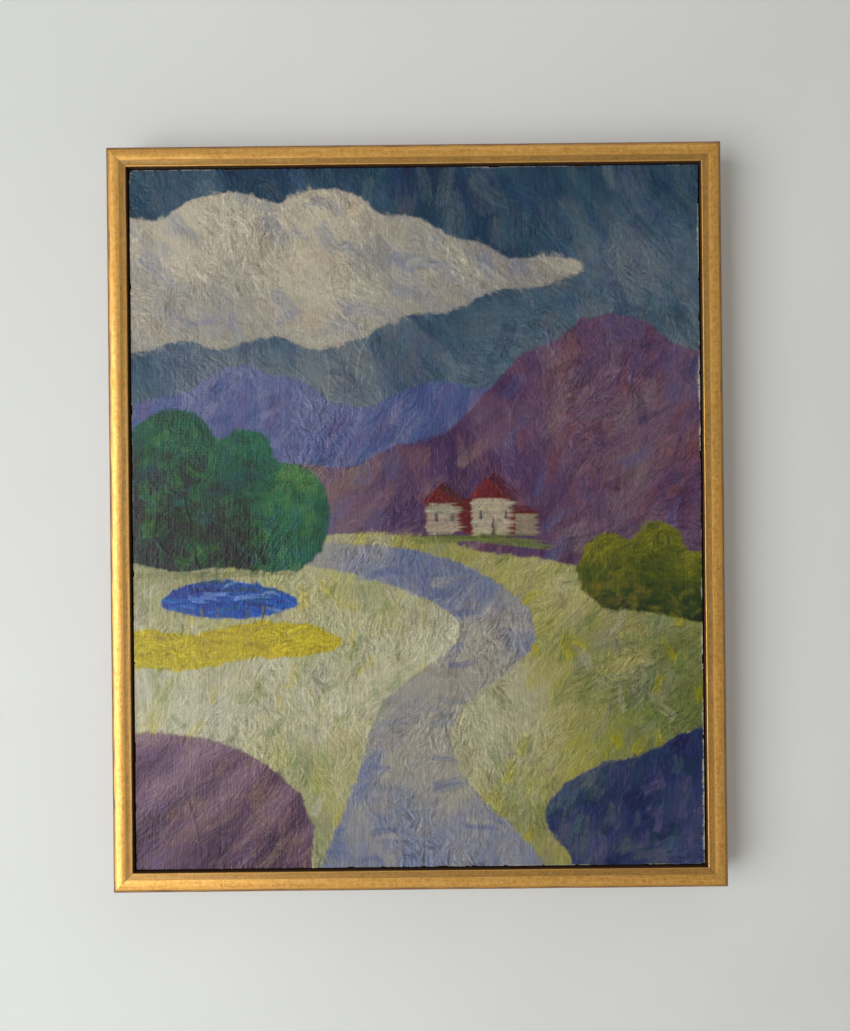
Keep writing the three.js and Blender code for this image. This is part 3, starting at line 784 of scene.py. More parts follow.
PLACED_MARKS = [
    # The farm: walls, roof slopes, doors and windows
    *wall(24, -16, 12, 32, ("8E8472", "968C7C")),
    *wall(67, -17, 16, 38, ("A29782", "998F7C")),
    *wall(97, -17, 2, 22, ("7E7464", "867C6C")),
    Mark(16, 20, 44, 24, 8, "5E302E", 0.95),
    Mark(32, 20, -40, 26, 9, "45252A", 0.95),
    Mark(57, 26, 50, 26, 9, "663430", 0.95),
    Mark(76, 26, -42, 30, 10, "4A272A", 0.95),
    Mark(97, 6, -3, 26, 8, "52302E"),
    Mark(17, 0, 90, 8, 4, "34363E"),
    Mark(31, 0, 90, 8, 4, "34363E"),
    Mark(56, 2, 90, 9, 4, "30343E"),
    Mark(67, -10, 90, 14, 5, "3A2E30"),
    Mark(78, 2, 90, 9, 4, "30343E"),
    Mark(34, -20, 1, 76, 7, "70744C", 0.9, WALL),
    Mark(88, -23, -7, 66, 8, "666C48", 0.9, WALL),
    Mark(60, -17.5, 0, 96, 4, "4A4C34", 0.7),
    # Trunks, the grove's shadow on the grass, and the pond's reeds and reflections
    *[
        Mark(x, -26, angle, 30, 4, "241F1C", 0.8)
        for x, angle in ((-232, 88), (-196, 94), (-168, 86), (-136, 92))
    ],
    *[Mark(x, -49, 2, 40, 6, "50583A", 0.55) for x in (-230, -196, -160, -128)],
    *[Mark(x, -82, 90, 11, 2.6, "6A643A", 0.8) for x in (-214, -206, -190, -176, -150, -136, -122)],
    *[Mark(x, -62, 1, 34, 4, "1C3C3A", 0.7) for x in (-186, -154)],
]


@dataclass
class Easel:
    """The canvas while it is being painted: a grid of colour, height and the way the marks run."""

    width: float = 500.0
    height: float = 615.0
    columns: int = 1112
    rows: int = 1368
    seed: int = 7
    streak_rows: int = 1024
    streak_columns: int = 2048
    streak_gap: float = 0.55
    lip_width: float = 0.9
    stray_limit: float = 2.6
    fine_steps: int = 3
    coarse_steps: int = 9
    fine_ridge: float = 0.145
    coarse_ridge: float = 0.100
    thread_ridge: float = 0.040
    fine_shade: float = 0.175
    coarse_shade: float = 0.110
    thread_shade: float = 0.035
    varnish_gain: float = 1.19
    varnish_depth: float = 0.029
    varnish_hue: float = 1.26
    varnish_tint: tuple[float, float, float] = (0.97, 0.985, 1.07)
    count: int = field(default=0, init=False)

    def __post_init__(self) -> None:
        """Primes the canvas."""
        self.rng = np.random.default_rng(self.seed)
        self.shape = (self.rows, self.columns)
        self.cell = self.width / self.columns
        self.colour = np.empty((*self.shape, 3), np.float32)
        self.colour[:] = palette("B9AE98")[0]
        self.relief = np.zeros(self.shape, np.float32)
        self.grain = np.zeros((*self.shape, 2), np.float32)
        self.grain[..., 0] = -1
        self.tooth = self.weave_tooth()
        self.streaks = self.bristle_streaks()
        self.x = ((np.arange(self.columns, dtype=np.float32) + 0.5) * self.cell - self.width / 2)[None, :]
        self.z = ((np.arange(self.rows, dtype=np.float32) + 0.5) * self.cell - self.height / 2)[:, None]
        self.swell = self.soft_field(150)
        self.flow = self.soft_field(80)
        self.patches = 0.7 * self.soft_field(48) + 0.6 * self.soft_field(22)
        self.ragged = self.soft_field(9) + 0.6 * self.soft_field(3.5)
        self.everywhere = np.broadcast_to(np.float32(1), self.shape)

    def soft_field(self, swell: float) -> Array:
        """Makes a soft random field over the canvas, its swells so many millimetres wide."""
        return drift(self.shape, swell / self.cell, self.rng)

    def weave_tooth(self) -> Array:
        """Makes the uneven tooth of the primed weave, which catches a dry brush."""
        tooth = 0.5 * noise(self.rng, *self.shape)
        for threads in (noise(self.rng, 1, self.columns), noise(self.rng, self.rows, 1)):
            tooth += 0.18 * threads * (0.6 + 0.4 * drift(self.shape, 60, self.rng))
        return soften(tooth, 0.6) * 2.2

    def bristle_streaks(self) -> Array:
        """Makes the marks of a brush's bristles: one bristle a row, its load changing along the columns."""
        streaks = np.zeros((self.streak_rows, self.streak_columns), np.float32)
        for knots, weight in ((self.streak_columns // 64, 1.0), (self.streak_columns // 16, 0.5)):
            loads = noise(self.rng, self.streak_rows, knots)
            at = np.linspace(0, knots - 1.001, self.streak_columns)
            i, f = at.astype(int), (at % 1).astype(np.float32)
            streaks += weight * (loads[:, i] * (1 - f) + loads[:, np.minimum(i + 1, knots - 1)] * f)
        streaks = 0.25 * np.roll(streaks, 1, 0) + 0.5 * streaks + 0.25 * np.roll(streaks, -1, 0)
        return streaks / streaks.std()

    def stroke(
        self,
        start: tuple[float, float],
        angle: float,
        length: float,
        width: float,
        bend: float,
        paints: tuple[Array, Array],
        brush: Brush,
        allow: Array,
        opacity: float | None = None,
    ) -> None:
        """Draws one stroke on the canvas.

        Args:
            start: Its start, from the picture's lower left corner.
            angle: Its direction, in radians.
            length: Its length.
            width: Its width.
            bend: How far it bows, as a share of its length.
            paints: The two colours on the brush.
            brush: The brush.
            allow: How freely each cell takes the paint.
            opacity: The paint's opacity where it isn't the brush's own.
        """
        x, z = start
        cos, sin, half = math.cos(angle), math.sin(angle), width / 2
        reach = abs(bend) * length + half + 2
        ends_x, ends_z = (x, x + cos * length), (z, z + sin * length)
        left, right = int((min(ends_x) - reach) / self.cell), int((max(ends_x) + reach) / self.cell) + 1
        low, high = int((min(ends_z) - reach) / self.cell), int((max(ends_z) + reach) / self.cell) + 1
        left, right, low, high = max(left, 0), min(right, self.columns), max(low, 0), min(high, self.rows)
        if right - left < 3 or high - low < 3:
            return
        dx = (np.arange(left, right, dtype=np.float32) + 0.5) * self.cell - x
        dz = ((np.arange(low, high, dtype=np.float32) + 0.5) * self.cell - z)[:, None]
        along = dx * cos + dz * sin
        u = along / length
        across = dz * cos - dx * sin - bend * length * 4 * u * (1 - u)
        v = across / half
        # Only the cells under the brush, with a little more at its sides and ends.
        rows, columns = np.nonzero((np.abs(v) < 1.15) & (u > -0.1) & (u < 1.2))
        if len(rows) < 10:
            return
        u, v, across, along = (part[rows, columns] for part in (u, v, across, along))
        rows, columns = rows + low, columns + left
        bristle_row = int(self.rng.integers(0, self.streak_rows))
        bristle_column = int(self.rng.integers(0, self.streak_columns))
        streak_row = (bristle_row + (across / self.streak_gap).astype(np.int32)) % self.streak_rows
        streak_column = (bristle_column + (along / self.cell).astype(np.int32)) % self.streak_columns
        bristle = self.streaks[streak_row, streak_column]
        other = self.streaks[(streak_row + 331) % self.streak_rows, streak_column - 97]
        lift = self.streaks[streak_row, bristle_column]
        # Soft sides, a ragged start, and an end where the brush lifts bristle by bristle.
        cover = ease(0, brush.softness, 1 - np.abs(v) + 0.12 * bristle)
        cover *= ease(-0.02, 0.06, u + 0.03 * lift) * ease(0, 0.22, 1.0 + 0.09 * lift - u)
        if brush.dryness > 0:
            # A dry brush catches the cloth's tooth alone, and less of it as its paint is spent.
            catch = 0.75 * self.tooth[rows, columns] + 0.55 * bristle - 0.25 * lift
            spent = 2.2 * brush.dryness * np.clip(u + 0.35, 0, 1) - 0.8
            cover *= ease(-0.9, 0.9, catch - spent)
        alpha = (brush.opacity if opacity is None else opacity) * cover * allow[rows, columns]
        # The brush's two colours lie side by side in it, and it picks up what it runs over.
        under = self.colour[rows, columns]
        share = np.clip(0.5 + 0.42 * other, 0, 1)[:, None]
        paint = (paints[0] * (1 - share) + paints[1] * share) * (1 + 0.035 * bristle[:, None])
        picked = brush.pickup * (0.4 + 0.6 * np.clip(u, 0, 1))[:, None]
        paint = paint * (1 - picked) + under * picked
        self.colour[rows, columns] = under + (paint - under) * alpha[:, None]
        # Paint is pushed up in a lip along both sides, and lies in grooves between the bristles.
        ridge = np.exp(-(((1 - np.abs(v)) * half / self.lip_width) ** 2))
        height = brush.body + brush.groove * bristle + 0.5 * brush.body * ridge * (0.7 + 0.3 * other)
        old = self.relief[rows, columns]
        self.relief[rows, columns] = old + alpha * (height - 0.5 * old)
        # Angles are kept doubled, because a mark looks the same from either end.
        way = np.array([math.cos(2 * angle), math.sin(2 * angle)], np.float32)
        turned = self.grain[rows, columns]
        self.grain[rows, columns] = turned + (way - turned) * (0.8 * alpha)[:, None]
        self.count += 1

    def comb(self, grid: Array, grain: Array, steps: int) -> Array:
        """Draws random values out along the brush marks.

        Args:
            grid: A random grid.
            grain: The doubled angle of the marks, as its cosine and sine.
            steps: How many cells it is drawn out each way.

        Returns:
            The combed grid, 0 on average with a spread of 1.
        """
        angle = 0.5 * np.arctan2(grain[..., 1], grain[..., 0])
        cos, sin = np.cos(angle), np.sin(angle)
        total = grid.copy()
        last_row, last_column = grid.shape[0] - 1, grid.shape[1] - 1
        for way in (-1.0, 1.0):
            z, x = (part.astype(np.float32) for part in np.indices(grid.shape))
            dx, dz = way * cos, way * sin
            for _ in range(steps):
                z, x = np.clip(z + dz, 0, last_row), np.clip(x + dx, 0, last_column)
                rows, columns = z.astype(np.int32), x.astype(np.int32)
                total += grid[rows, columns]
                next_x, next_z = cos[rows, columns], sin[rows, columns]
                same = np.where(next_x * dx + next_z * dz < 0, -1, 1).astype(np.float32)
                dx, dz = next_x * same, next_z * same
        total -= total.mean()
        return self.kept_in(total / total.std())

    def kept_in(self, values: Array) -> Array:
        """Cuts off the few random values that stray too far."""
        return np.clip(values, -self.stray_limit, self.stray_limit)

    @staticmethod
    def at_corners(grid: Array) -> Array:
        """Averages the cells round every second corner of the grid.

        Args:
            grid: Rows, columns and values.

        Returns:
            A grid of half as many rows and columns, plus one.
        """
        wide = np.pad(grid, ((1, 1), (1, 1), (0, 0)), mode="edge")
        total = wide[0:-1:2, 0:-1:2] + wide[1::2, 0:-1:2] + wide[0:-1:2, 1::2] + wide[1::2, 1::2]
        return total / 4

    def dried(self) -> tuple[Array, Array]:
        """Lets the paint dry with the fine ridges of the bristles and the threads of the linen in it.

        Returns:
            The colour and the height at the film's vertices.
        """
        colour, relief = self.at_corners(self.colour), self.at_corners(self.relief[..., None])[..., 0]
        grain = self.at_corners(self.grain)
        shape, film = relief.shape, 2 * self.cell
        grain = np.stack([soften(grain[..., k], 2.0 / film) for k in (0, 1)], -1)
        turn = 1.1 * drift(shape, 9 / film, self.rng) + 0.5 * drift(shape, 4 / film, self.rng)
        grain = np.stack([
            grain[..., 0] * np.cos(turn) - grain[..., 1] * np.sin(turn),
            grain[..., 0] * np.sin(turn) + grain[..., 1] * np.cos(turn),
        ], -1)
        fine = self.comb(noise(self.rng, *shape), grain, self.fine_steps)
        coarse = self.comb(noise(self.rng, *shape), grain, self.coarse_steps)
        # A few strong marks among many faint ones.
        fine, coarse = (np.sign(part) * np.abs(part) ** 1.5 / 1.35 for part in (fine, coarse))
        specks = self.kept_in(noise(self.rng, *shape))
        # Threads run up the canvas: noise drawn out over many rows.
        threads = noise(self.rng, *shape)
        for _ in range(3):
            threads[1:-1] = (threads[:-2] + threads[1:-1] + threads[2:]) / 3
        for _ in range(12):
            threads[4:-4] = (threads[:-8] + threads[4:-4] + threads[8:]) / 3
        threads = self.kept_in(threads / threads.std())
        patch = np.clip(0.75 + 0.35 * drift(shape, 40 / film, self.rng), 0.2, 1.4)
        fine = 0.8 * fine + 0.5 * specks
        rough = patch * (self.fine_ridge * fine + self.coarse_ridge * coarse) + self.thread_ridge * threads
        relief = relief + rough
        # Each mark's crest is coloured lighter and its groove darker, and so are the threads: partly the top
        # colour caught on the crests, partly painted highlight and painted shade of the ridges.
        marks = self.fine_shade * fine + self.coarse_shade * coarse
        shade = 1 + patch * marks + self.thread_shade * threads
        # Varnish takes the chalkiness out of the darks and deepens the hues.
        grey = (colour @ np.array(LUMINANCE, np.float32))[..., None]
        colour = (grey + self.varnish_hue * (colour - grey)) * np.array(self.varnish_tint, np.float32)
        colour = np.clip(self.varnish_gain * colour - self.varnish_depth, 0.004, 1) * shade[..., None]
        return np.clip(colour, 0.003, 1), relief


@dataclass
class Painter:
    """Paints the passages one after another, from the sky forwards."""

    easel: Easel
    labels: Array
    brief: bool = False
    ridge_count: int = 46
    edge_softness: float = 3.4
    edge_spill: float = 5.0
    edge_pull: float = 9.0
    ploughed_rows: float = 46

    def mask(self, name: str) -> Array:
        """Where a passage lies, as a grid of ones and noughts."""
        number = [passage.name for passage in PASSAGES].index(name)
        return (self.labels == number).astype(np.float32)

    def tones(self, passage: Passage, rows: Array, columns: Array) -> Array:
        """Works out how light a passage is at each cell.

        Args:
            passage: The passage.
            rows: The rows of its cells.
            columns: The columns of its cells.

        Returns:
            A grid from about 0, dark, to about 1, light.
        """
        easel = self.easel
        tone = 0.5 + 0.26 * easel.swell + 0.20 * easel.patches
        up = (np.arange(easel.rows, dtype=np.float32) - rows.min()) / (np.ptp(rows) + 1) - 0.5
        right = (np.arange(easel.columns, dtype=np.float32) - columns.min()) / (np.ptp(columns) + 1) - 0.5
        tone = tone + passage.rise * up[:, None] + passage.lean * right[None, :]
        nearest, lit = np.full(easel.shape, -9.0, np.float32), np.zeros(easel.shape, np.float32)
        for x, z, radius in passage.crowns:
            inside = 1 - np.hypot(easel.x - x, easel.z - z) / radius
            # Each crown is lit from the upper left.
            light = (-0.62 * (easel.x - x) + 0.78 * (easel.z - z)) / radius
            lit = np.where(inside > nearest, light, lit)
            nearest = np.maximum(nearest, inside)
        if passage.crowns:
            tone = tone - 0.12 + 0.26 * lit
        if passage.vanish:
            turn = np.arctan2(easel.z - passage.vanish[1], easel.x - passage.vanish[0])
            tone = tone + passage.rows * np.sin(turn * self.ploughed_rows + 0.6 * easel.flow)
        return tone

    def angles(self, passage: Passage, mask: Array) -> Array:
        """Works out which way a passage's marks run, along its edges near them.

        Args:
            passage: The passage.
            mask: Where it lies.

        Returns:
            Angles in radians, on every fourth row and column.
        """
        easel = self.easel
        pull = self.edge_pull / easel.cell / 4
        dz, dx = np.gradient(soften(mask[::4, ::4], pull))
        strength = np.clip(np.hypot(dx, dz) * (2 * pull) * passage.edge, 0, 1)
        sway = passage.spread * easel.flow[::4, ::4]
        if passage.vanish:
            base = np.arctan2(easel.z[::4] - passage.vanish[1], easel.x[:, ::4] - passage.vanish[0])
            base = base + np.radians(0.3 * sway)
        else:
            base = np.radians(passage.angle + sway)
        tangent = 2 * np.arctan2(dx, -dz)
        return 0.5 * np.arctan2(
            (1 - strength) * np.sin(2 * base) + strength * np.sin(tangent),
            (1 - strength) * np.cos(2 * base) + strength * np.cos(tangent),
        )

    @staticmethod
    def colours(tones: Array, tone: Array) -> Array:
        """Picks colours from a row of tones.

        Args:
            tones: The colours from dark to light.
            tone: How light each is to be.

        Returns:
            The colours.
        """
        place = np.clip(tone, 0, 0.999) * (len(tones) - 1)
        i = place.astype(int)
        f = (place - i)[..., None]
        return tones[i] * (1 - f) + tones[i + 1] * f

    def coat(
        self, cells: tuple, angle: Array, tone: Array, allow: Array, tones: Array, brush: Brush, scale: float
    ) -> None:
        """Brushes one coat over a passage.

        Args:
            cells: The rows and columns of the passage's cells.
            angle: Which way its marks run.
            tone: How light it is.
            allow: How freely each cell takes the paint.
            tones: Its colours from dark to light.
            brush: The brush.
            scale: The size of the marks against the brush's own.
        """
        easel, rng, (rows, columns) = self.easel, self.easel.rng, cells
        area = len(rows) * easel.cell**2
        count = int(brush.cover * area / (np.mean(brush.width) * np.mean(brush.length) * scale**2)) + 1
        if self.brief:
            count = count // 3 + 1
        pick = rng.integers(0, len(rows), count)
        z, x = (rows[pick] + 0.5) * easel.cell, (columns[pick] + 0.5) * easel.cell
        way = angle[rows[pick] // 4, columns[pick] // 4]
        way = way + np.radians(brush.wobble) * rng.standard_normal(count)
        way += math.pi * rng.integers(0, 2, count)
        level = tone[rows[pick], columns[pick]]
        first = self.colours(tones, level + brush.scatter * rng.standard_normal(count))
        second = self.colours(tones, level + brush.scatter * rng.standard_normal(count))
        first = first * (1 + brush.hue * noise(rng, count, 3))
        width, length = rng.uniform(*brush.width, count) * scale, rng.uniform(*brush.length, count) * scale
        bend = 0.05 * rng.standard_normal(count)
        x, z = x - np.cos(way) * length / 2, z - np.sin(way) * length / 2
        for k in range(count):
            paints = (first[k], second[k])
            easel.stroke((x[k], z[k]), way[k], length[k], width[k], bend[k], paints, brush, allow)

    def paint_passage(self, passage: Passage) -> None:
        """Paints one passage: a wash, an opaque lay-in, glazes of other hues, and dry brushwork over it."""
        easel = self.easel
        mask = self.mask(passage.name)
        near = soften(mask, self.edge_softness / easel.cell)
        allow = ease(0.26, 0.66, near + 0.13 * easel.tooth + 0.13 * easel.ragged) * ease(0.0, 0.08, near)
        cells = np.nonzero(mask)
        tone, angle = self.tones(passage, *cells), self.angles(passage, mask)
        tones, glazes = palette(passage.tones), palette(passage.glazes)
        easel.colour += (self.colours(tones, tone) - easel.colour) * (0.97 * allow)[..., None]
        for brush in (LAY_IN, BODY_COLOUR):
            self.coat(cells, angle, tone, allow, tones, brush, passage.scale)
        hue = 0.5 + 0.62 * easel.soft_field(70 * passage.scale)
        self.coat(cells, angle, hue, allow, glazes, GLAZE, passage.scale)
        self.coat(cells, angle, tone, allow, tones, SCUMBLE, max(passage.scale, 0.5))
        self.coat(cells, angle, tone, allow, tones, COMB, max(passage.scale, 0.6))
        # The brush strays over the edge here and there, so that no outline looks cut out.
        fringe = np.nonzero((mask > 0) & (near < 0.80))
        if len(fringe[0]):
            scale = max(passage.scale, 0.5)
            spill = ease(0.04, 0.34, soften(mask, self.edge_spill * scale / easel.cell))
            self.coat(fringe, angle, tone, spill, tones, FRINGE, scale)

    def scatter(self, marks: LooseMarks) -> None:
        """Puts loose marks over a passage."""
        easel, rng = self.easel, self.easel.rng
        mask = self.mask(marks.passage)
        allow = ease(0.05, 0.6, soften(mask, 2.0 / easel.cell))
        rows, columns = np.nonzero(mask)
        colours = palette(marks.colours)
        for k in rng.integers(0, len(rows), marks.count):
            angle = math.radians(marks.angle + marks.wobble * rng.standard_normal())
            length, width = rng.uniform(*marks.length), rng.uniform(*marks.width)
            colour = colours[rng.integers(0, len(colours))]
            x = (columns[k] + 0.5) * easel.cell - math.cos(angle) * length / 2
            z = (rows[k] + 0.5) * easel.cell - math.sin(angle) * length / 2
            second = colour * (1 + 0.12 * rng.standard_normal())
            bend = 0.08 * rng.standard_normal()
            easel.stroke((x, z), angle, length, width, bend, (colour, second), DAB, allow, marks.opacity)

    def place(self, mark: Mark) -> None:
        """Puts one stroke where it is wanted."""
        easel, angle = self.easel, math.radians(mark.angle)
        x = mark.x + easel.width / 2 - math.cos(angle) * mark.length / 2
        z = mark.z + easel.height / 2 - math.sin(angle) * mark.length / 2
        colour = palette(mark.colour)[0]
        varied = colour * (1 + 0.04 * noise(easel.rng, 3))
        size, paints = (mark.length, mark.width), (varied, colour)
        easel.stroke((x, z), angle, *size, 0.0, paints, mark.brush, easel.everywhere, mark.opacity)

    def ridges(self) -> None:
        """Leaves a few long low ridges, as thick paint under the top coat and the brush's edge do, each with
        a painted highlight along it.
        """
        easel, rng = self.easel, self.easel.rng
        for _ in range(self.ridge_count):
            start = (rng.uniform(20, easel.width - 20), rng.uniform(30, easel.height - 20))
            angle, bend = math.radians(rng.uniform(-100, -25)), rng.uniform(-0.2, 0.2)
            column, row = int(start[0] / easel.cell), int(start[1] / easel.cell)
            # The ridge's paint is the colour beneath made 15% lighter: a painted highlight along the ridge.
            paint = easel.colour[row, column] * 1.15
            length, width = rng.uniform(*RIDGE.length), rng.uniform(*RIDGE.width)
            easel.stroke(start, angle, length, width, bend, (paint, paint), RIDGE, easel.everywhere)

    def bare_margin(self) -> None:
        """Leaves the primer showing in a ragged margin, widest down the right."""
        easel = self.easel
        right = (easel.width / 2 - easel.x) + 0 * easel.z
        others = np.minimum(easel.width / 2 + easel.x, easel.height / 2 - np.abs(easel.z))
        fringe = 0.5 * easel.tooth + 0.5 * easel.ragged
        strands = drift((easel.rows, 40), 2, easel.rng).repeat(-(-easel.columns // 40), 1)
        fringe += 0.9 * strands[:, : easel.columns]
        width = np.clip(0.4 + 1.5 * easel.patches, 0.0, 2.6) * (1 + 0.55 * fringe)
        bare = 1 - ease(0.75, 1.05, right / np.maximum(width, 0.05))
        bare = np.maximum(bare, 0.7 - 0.7 * ease(0.7, 1.1, others / np.maximum(0.25 * width - 0.1, 0.05)))
        primer = palette("A8A496")[0]
        easel.colour += (primer - easel.colour) * bare[..., None]

    def paint(self) -> None:
        """Paints the whole picture."""
        for number, passage in enumerate(PASSAGES):
            self.easel.colour[self.labels == number] = palette(passage.tones).mean(0)
        for passage in PASSAGES:
            self.paint_passage(passage)
        for marks in LOOSE_MARKS:
            self.scatter(marks)
        for mark in PLACED_MARKS:
            self.place(mark)
        self.ridges()
        self.bare_margin()


@dataclass
class PaintFilm:
    """The dry paint on the canvas: one raised film for each passage that the CAD model has."""

    nodes: dict
    finish: BrushedOilPaint = BrushedOilPaint()
    margin: float = 0.35
    hollow: float = -0.3
    crest: float = 0.9
    nibble: float = 0.5

    def passage_labels(self, easel: Easel) -> Array:
        """Finds which passage each cell of the canvas belongs to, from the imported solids' front faces.

        Args:
            easel: The canvas grid.

        Returns:
            The number of a passage for each cell.
        """
        labels = np.full(easel.shape, -1, np.int16)
        for number, passage in enumerate(PASSAGES):
            mesh = self.nodes[f"paint_{passage.name}"].data
            points = np.array([v.co for v in mesh.vertices])
            front = points[:, 1].min() + 1e-5
            flat = (points[:, [0, 2]] - [0, SIZES.centre_z]) / MM + [easel.width / 2, easel.height / 2]
            mesh.calc_loop_triangles()
            for triangle in mesh.loop_triangles:
                corners = list(triangle.vertices)
                if (points[corners, 1] < front).all():
                    self.fill_triangle(labels, flat[corners] / easel.cell, number)
        # Cells between two solids take a neighbour's number.
        while (labels < 0).any():
            for shift, axis in ((1, 0), (-1, 0), (1, 1), (-1, 1)):
                moved = np.roll(labels, shift, axis)
                bare = (labels < 0) & (moved >= 0)
                labels[bare] = moved[bare]
        return labels

    @staticmethod
    def fill_triangle(labels: Array, corners: Array, number: int) -> None:
        """Gives the cells inside a triangle a passage's number.

        Args:
            labels: The grid of numbers.
            corners: The triangle's corners, in cells.
            number: The passage's number.
        """
        (ax, az), (bx, bz), (cx, cz) = corners
        left, low = (max(int(value), 0) for value in corners.min(0) - 1)
        right, high = (int(value) + 2 for value in corners.max(0))
        z, x = np.mgrid[low : min(high, labels.shape[0]), left : min(right, labels.shape[1])] + 0.5
        size = (bx - ax) * (cz - az) - (bz - az) * (cx - ax)
        if abs(size) < 1e-9 or x.size == 0:
            return
        first = ((x - ax) * (cz - az) - (z - az) * (cx - ax)) / size
        second = ((bx - ax) * (z - az) - (bz - az) * (x - ax)) / size
        inside = (first >= -1e-6) & (second >= -1e-6) & (first + second <= 1 + 1e-6)
        labels[low : low + x.shape[0], left : left + x.shape[1]][inside] = number

    def build(self) -> list[Piece]:
        """Paints the picture and makes its films.

        Returns:
            The films.
        """
        easel = Easel()
        labels = self.passage_labels(easel)
        Painter(easel, labels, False).paint()
        log.info("picture painted with %d strokes", easel.count)
        colour, height = easel.dried()
        rows, columns = height.shape
        x = np.linspace(-easel.width / 2, easel.width / 2, columns)
        z = np.linspace(-easel.height / 2, easel.height / 2, rows)
        points = np.empty((rows, columns, 3))
        points[..., 0], points[..., 2] = x[None, :] * MM, z[:, None] * MM + SIZES.centre_z
        points[..., 1] = SIZES.paint_level - np.clip(height, self.hollow, self.crest) * MM
        painted = self.painted_cells(easel, rows - 1, columns - 1)
        numbers = np.arange(rows * columns).reshape(rows, columns)
        quads = np.stack([numbers[:-1, :-1], numbers[:-1, 1:], numbers[1:, 1:], numbers[1:, :-1]], -1)
        material = self.finish.build()
        films = []
        for number, passage in enumerate(PASSAGES):
            mine = quads[(labels[1::2, 1::2] == number) & painted]
            films.append(self.one_film(passage, mine, points.reshape(-1, 3), colour.reshape(-1, 3), material))
        return films

    def painted_cells(self, easel: Easel, rows: int, columns: int) -> Array:
        """Nibbles the film's edge a little, as paint breaks off at the corners of a canvas.

        Args:
            easel: The canvas grid.
            rows: The film's rows of cells.
            columns: The film's columns of cells.

        Returns:
            True where there is paint.
        """
        x = (np.arange(columns) + 0.5)[None, :] * easel.width / columns
        z = (np.arange(rows) + 0.5)[:, None] * easel.height / rows
        ragged = easel.ragged[1::2, 1::2]
        edge = np.minimum(np.minimum(x, easel.width - x), np.minimum(z, easel.height - z))
        return edge - self.nibble * np.maximum(ragged - 0.9, 0) > self.margin

    def one_film(
        self, passage: Passage, quads: Array, points: Array, colour: Array, material: Material
    ) -> Piece:
        """Makes one passage's film, with a rim down to the canvas.

        Args:
            passage: The passage.
            quads: Its faces, in the whole picture's vertex numbers.
            points: The whole picture's vertices.
            colour: Their colours.
            material: The paint.

        Returns:
            The film.
        """
        edges = np.concatenate([quads[:, [k, (k + 1) % 4]] for k in range(4)])
        low, high = np.sort(edges, 1).T
        _, first, count = np.unique(low * len(points) + high, return_index=True, return_counts=True)
        rim = edges[first[count == 1]]
        used, local = np.unique(np.concatenate([quads.ravel(), rim.ravel()]), return_inverse=True)
        faces, rim_faces = local[: quads.size].reshape(-1, 4), local[quads.size :].reshape(-1, 2)
        foot_of, foot_local = np.unique(rim_faces, return_inverse=True)
        foot_local = foot_local.reshape(-1, 2) + len(used)
        foot = points[used[foot_of]].copy()
        foot[:, 1] = SIZES.canvas_front
        skirt = np.stack([rim_faces[:, 1], rim_faces[:, 0], foot_local[:, 0], foot_local[:, 1]], -1)
        vertices = np.concatenate([points[used], foot])
        name, slot = passage.name, f"oil_paint_{passage.slot or passage.name}"
        film = new_piece(f"paint_film_{name}", vertices, [faces, skirt], [material], smooth=60)
        pigment = np.concatenate([colour[used], colour[used[foot_of]]])
        opaque = np.ones((len(pigment), 1))
        add_attribute(film, "pigment", "FLOAT_COLOR", np.concatenate([pigment, opaque], 1))
        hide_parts(f"paint_{name}")
        return film


class Wear(Enum):
    """How rubbed, how dull and how dark each part of the moulding is."""

    SIDE = (0.54, 0.50, 0.12)
    OUTER_TURN = (0.62, 0.40, 0.06)
    UPPER_TURN = (0.52, 0.30, 0.0)
    SHOULDER = (0.34, 0.15, 0.0)
    DOME = (0.12, 0.0, 0.0)
    COVE = (0.26, 0.46, 0.12)
    ARRIS = (0.0, 0.0, 0.0)
    INNER_TURN = (0.26, 0.3, 0.2)
    # The inner wall and the foot: fully dark, their bole toning deepened as painted shade in the gap behind
    # the sight edge.
    BARE = (0.5, 0.5, 1.0)


